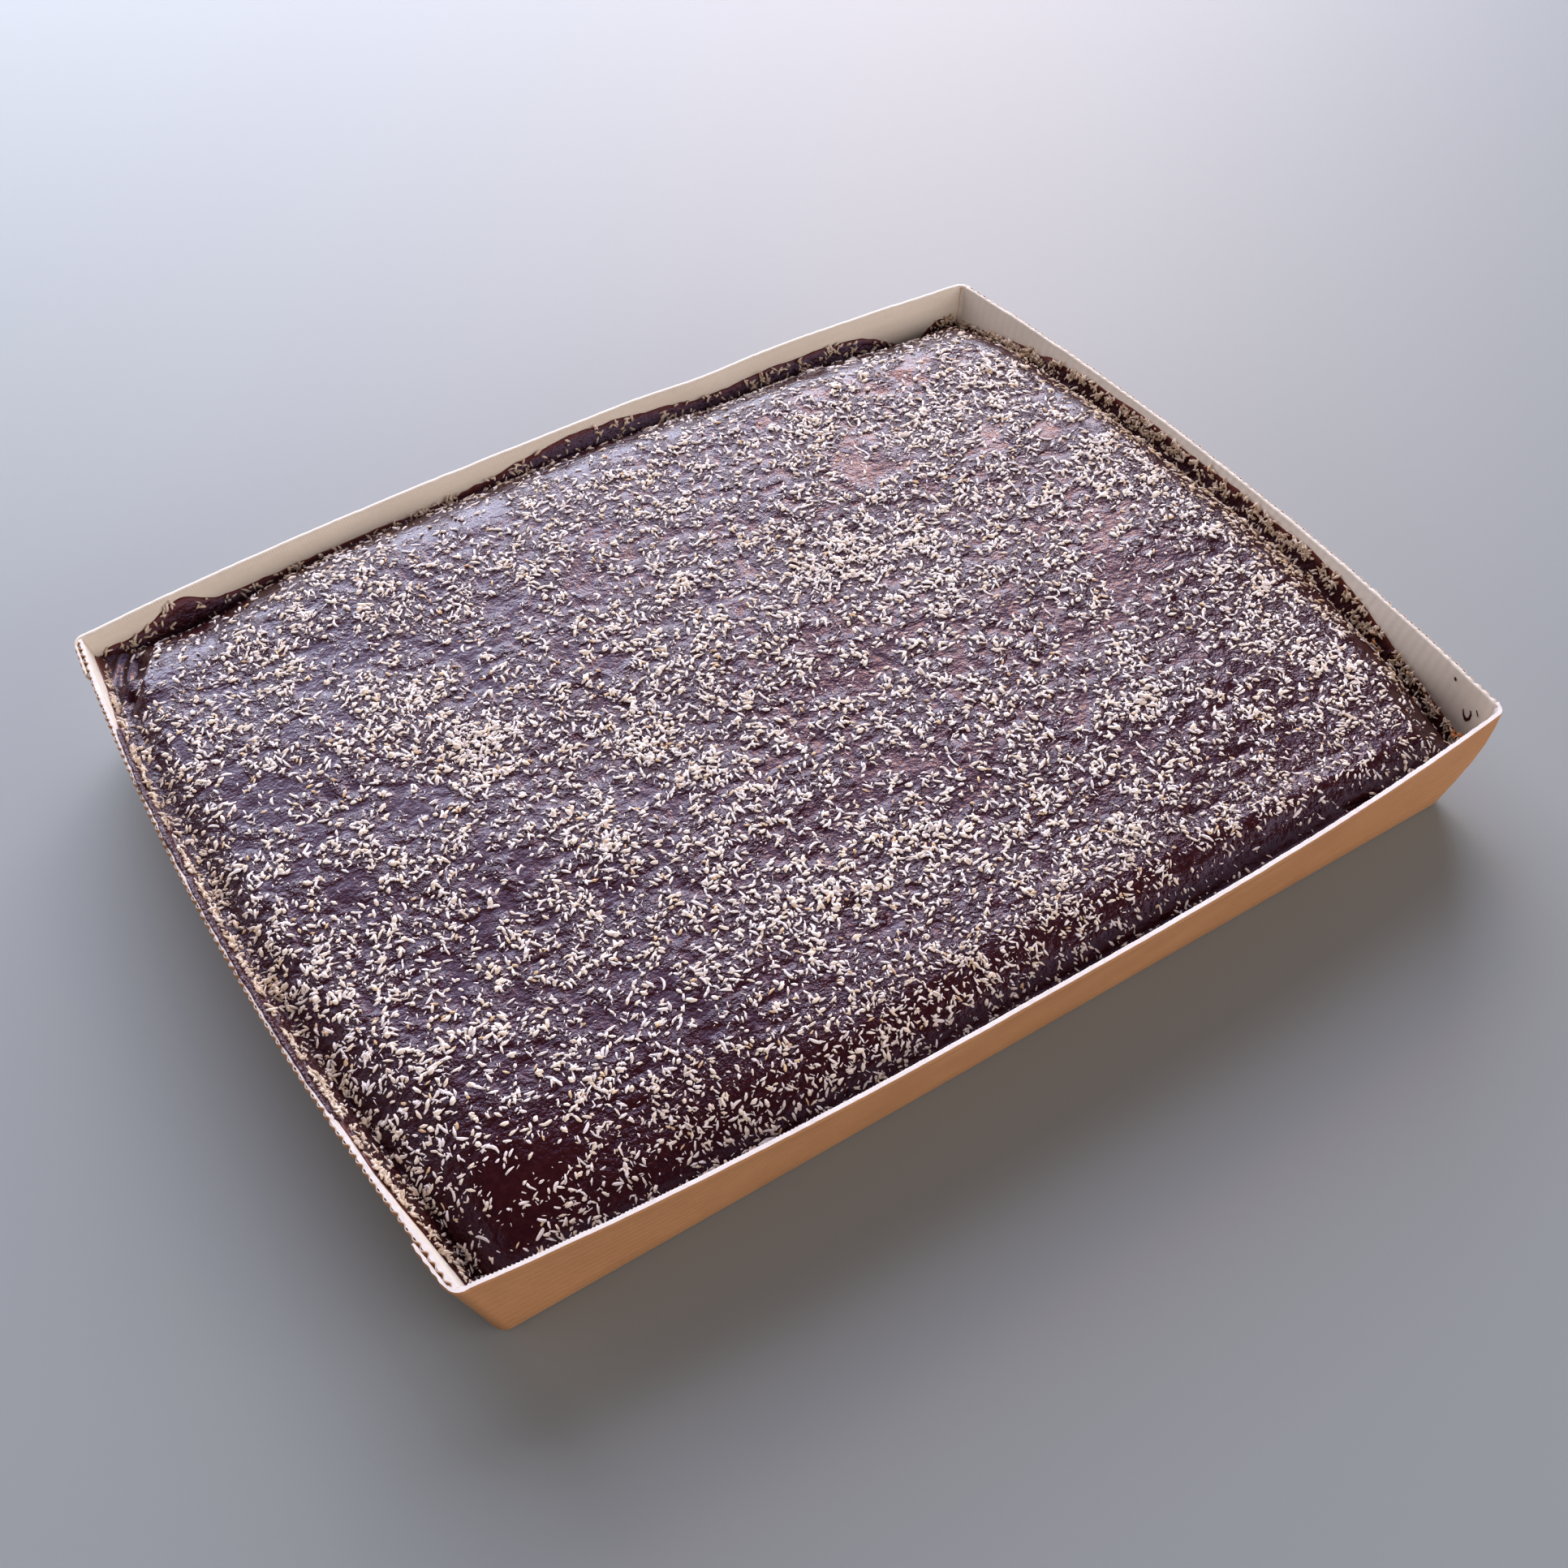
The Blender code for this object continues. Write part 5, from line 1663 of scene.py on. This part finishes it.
def make_wall_mark(name, marked):
    """A thin smear along points of the right wall."""
    y, z, width = np.array(marked).T * MM
    steps = np.linspace(0.0, len(y) - 1.0, 6 * len(y))
    y, z, width = (np.interp(steps, np.arange(len(part)), part) for part in (y, z, width))
    run_y, run_z = np.gradient(y), np.gradient(z)
    scale = np.hypot(run_y, run_z)

    def place_at(angle):
        aside = 0.5 * width * math.cos(angle)
        ring_y, ring_z = y - run_z / scale * aside, z + run_y / scale * aside
        x = short_wall(ring_y, ring_z, half_width(ring_z)) + corner_kick(ring_y, ring_z) - WALL
        return np.stack([x - MARK_RISE - MARK_THICKNESS * math.sin(angle), ring_y, ring_z], -1)

    return tube_from_rings(name, around_line(place_at), chocolate)


for mark_name, marked in WALL_MARKS.items():
    wall_mark = make_wall_mark(mark_name, marked)
print("marks:", list(WALL_MARKS))

# %% [markdown]
# ## The base
#
# Under the cake lies the sheet's plain middle. Only its underside could ever be seen, so it is one flat
# slab that fills the room between the walls' feet.

# %% Base board
BASE_OVERLAP = 0.5 * MM
EVERY = 20


def make_base_board():
    """The slab under the cake, from the walls' own plans at its underside and its top."""
    outlines = []
    for z in (0.0, BOARD):
        front_x, front_y = long_board_plan(False, z, WALL - BASE_OVERLAP)
        back_x, back_y = long_board_plan(True, z, WALL - BASE_OVERLAP)
        keep = slice(LAP_COUNT + CORNER_COUNT, -(LAP_COUNT + CORNER_COUNT), EVERY)
        x = np.concatenate([front_x[keep], back_x[keep][::-1]])
        y = np.concatenate([front_y[keep], back_y[keep][::-1]])
        outlines.append(np.stack([x, y, np.full(len(x), z)], -1))
    count = len(outlines[0])
    ring = np.arange(count)
    after = (ring + 1) % count
    sides = np.stack([ring, after, count + after, count + ring], -1)
    caps = [ring[::-1][None, :], (count + ring)[None, :]]
    mesh = mesh_from_arrays("tray_base", np.concatenate(outlines), [sides] + caps, smooth=False)
    made = link_piece("tray_base", mesh, KRAFT)
    put_values(mesh, "flute", np.concatenate(outlines)[:, 1])
    return made


print("made", make_base_board().name)

# %% [markdown]
# ## Floor
#
# A plain pale floor stands in for whatever the tray stands on. It has one soft grey and hardly any gloss,
# so that the tray's own shadow and nothing else shows on it. It lies a hair under the tray, because two
# faces at one height would flicker into each other.

# %% Floor
FLOOR_SIZE = 6.0
FLOOR_GAP = 0.1 * MM
floor_mesh = bpy.data.meshes.new("studio_floor")
half_floor = FLOOR_SIZE / 2.0
floor_mesh.from_pydata(
    [(-half_floor, -half_floor, 0.0), (half_floor, -half_floor, 0.0),
     (half_floor, half_floor, 0.0), (-half_floor, half_floor, 0.0)],
    [], [(0, 1, 2, 3)],
)
studio_floor = bpy.data.objects.new("studio_floor", floor_mesh)
studio_floor.location.z = -FLOOR_GAP
bpy.context.scene.collection.objects.link(studio_floor)
floor_finish, _, _ = new_finish("pale_floor", base_color=colour(138, 144, 144), roughness=0.6)
floor_mesh.materials.append(floor_finish)
print("floor of", FLOOR_SIZE, "m")

# %% [markdown]
# ## Light
#
# The gloss on the frosting is blue and comes from the far side, as by a window. Three long panels, one
# over the other behind the cake, stand for it, bright low down and dimmer towards the ceiling. So the far
# slope mirrors the most light, as in the photo. A warm fill from the camera's side, two dim side walls and
# a faint sky keep the shadows open. A small warm lamp shows in the gloss alone, because in the photo the
# back right has orange glints but no orange shadows.

# %% Light
SKY_COLOUR = (0.96, 0.88, 1.0, 1.0)
SKY_STRENGTH = 0.12
WINDOW_TINT = (0.82, 0.86, 1.0)
HIGH_WINDOW_TINT = (0.84, 0.80, 1.0)
SIDE_TINT = (0.98, 0.92, 0.96)
WARM_TINT = (1.0, 0.90, 0.84)
LAMP_TINT = (1.0, 0.40, 0.08)
VIEW_AZIMUTH = math.radians(-30.6327)
AIM = Vector((0.0, 0.0, 0.03))

world = bpy.data.worlds.new("room_light")
world.use_nodes = True
world.node_tree.nodes["Background"].inputs["Color"].default_value = SKY_COLOUR
world.node_tree.nodes["Background"].inputs["Strength"].default_value = SKY_STRENGTH
bpy.context.scene.world = world
bpy.context.scene.view_settings.view_transform = "Standard"


def add_panel(name, turn, elevation, distance, size, radiance, tint):
    """A soft rectangular light aimed at the cake. turn is measured from the view direction."""
    around = VIEW_AZIMUTH + math.radians(turn)
    rise = math.radians(elevation)
    away = Vector((-math.sin(around) * math.cos(rise), math.cos(around) * math.cos(rise), math.sin(rise)))
    data = bpy.data.lights.new(name, "AREA")
    data.shape = "RECTANGLE"
    data.size, data.size_y = size
    data.energy = radiance * math.pi * size[0] * size[1]
    data.color = tint
    lamp = bpy.data.objects.new(name, data)
    lamp.location = AIM + distance * away
    lamp.rotation_euler = (AIM - lamp.location).to_track_quat("-Z", "Y").to_euler()
    bpy.context.scene.collection.objects.link(lamp)
    return lamp


# Panels as name, turn and elevation in degrees, distance and size in metres, radiance and tint
PANELS = (
    ("window_low", 9.0, 14.0, 2.6, (3.0, 0.92), 12.0, WINDOW_TINT),
    ("window_middle", 9.0, 31.0, 2.6, (3.0, 0.64), 7.2, WINDOW_TINT),
    ("window_high", 9.0, 50.5, 2.6, (3.0, 1.2), 3.6, HIGH_WINDOW_TINT),
    ("room_fill", 232.0, 18.0, 3.0, (5.0, 1.3), 3.5, WARM_TINT),
    ("left_wall_glow", 95.0, 20.0, 2.6, (3.0, 1.2), 1.8, SIDE_TINT),
    ("right_wall_glow", -105.0, 20.0, 2.6, (3.0, 1.2), 1.0, SIDE_TINT),
    ("warm_lamp", -6.7, 32.3, 2.6, (0.40, 0.22), 85.0, LAMP_TINT),
)
panels = {panel[0]: add_panel(*panel) for panel in PANELS}
panels["warm_lamp"].visible_diffuse = False
print("lights:", list(panels))

# %% [markdown]
# ## The camera
#
# The camera stands where the photo was taken from, as worked out from the tray's eight corners, and looks
# down at about 47 degrees. Its axes are built from that angle, its turn and its small roll, and then put
# into one matrix, because three rotations in a row are easy to get in the wrong order.

# %% Camera
CAMERA_AT = Vector((-0.20904, -0.35963, 0.44211))
CAMERA_ELEVATION = math.radians(47.4036)
CAMERA_ROLL = math.radians(-2.49286)
SENSOR = 36.0
FOCAL_IN_PICTURE_WIDTHS = 2444.03 / 1932.0

flat = math.cos(CAMERA_ELEVATION)
forward = Vector((
    -math.sin(VIEW_AZIMUTH) * flat, math.cos(VIEW_AZIMUTH) * flat, -math.sin(CAMERA_ELEVATION),
))
level_right = forward.cross(Vector((0.0, 0.0, 1.0))).normalized()
level_up = level_right.cross(forward)
turned_right = math.cos(CAMERA_ROLL) * level_right + math.sin(CAMERA_ROLL) * level_up
turned_up = -math.sin(CAMERA_ROLL) * level_right + math.cos(CAMERA_ROLL) * level_up
camera_data = bpy.data.cameras.new("photo_view")
camera_data.sensor_width = SENSOR
camera_data.lens = SENSOR * FOCAL_IN_PICTURE_WIDTHS
photo_view = bpy.data.objects.new("photo_view", camera_data)
photo_view.matrix_world = (
    Matrix.Translation(CAMERA_AT) @ Matrix((turned_right, turned_up, -forward)).transposed().to_4x4()
)
bpy.context.scene.collection.objects.link(photo_view)
bpy.context.scene.camera = photo_view
print("lens", round(camera_data.lens, 1), "mm")

# %% [markdown]
# ## The end
#
# The last call brings the scene up to date.

# %% The end
bpy.context.view_layer.update()
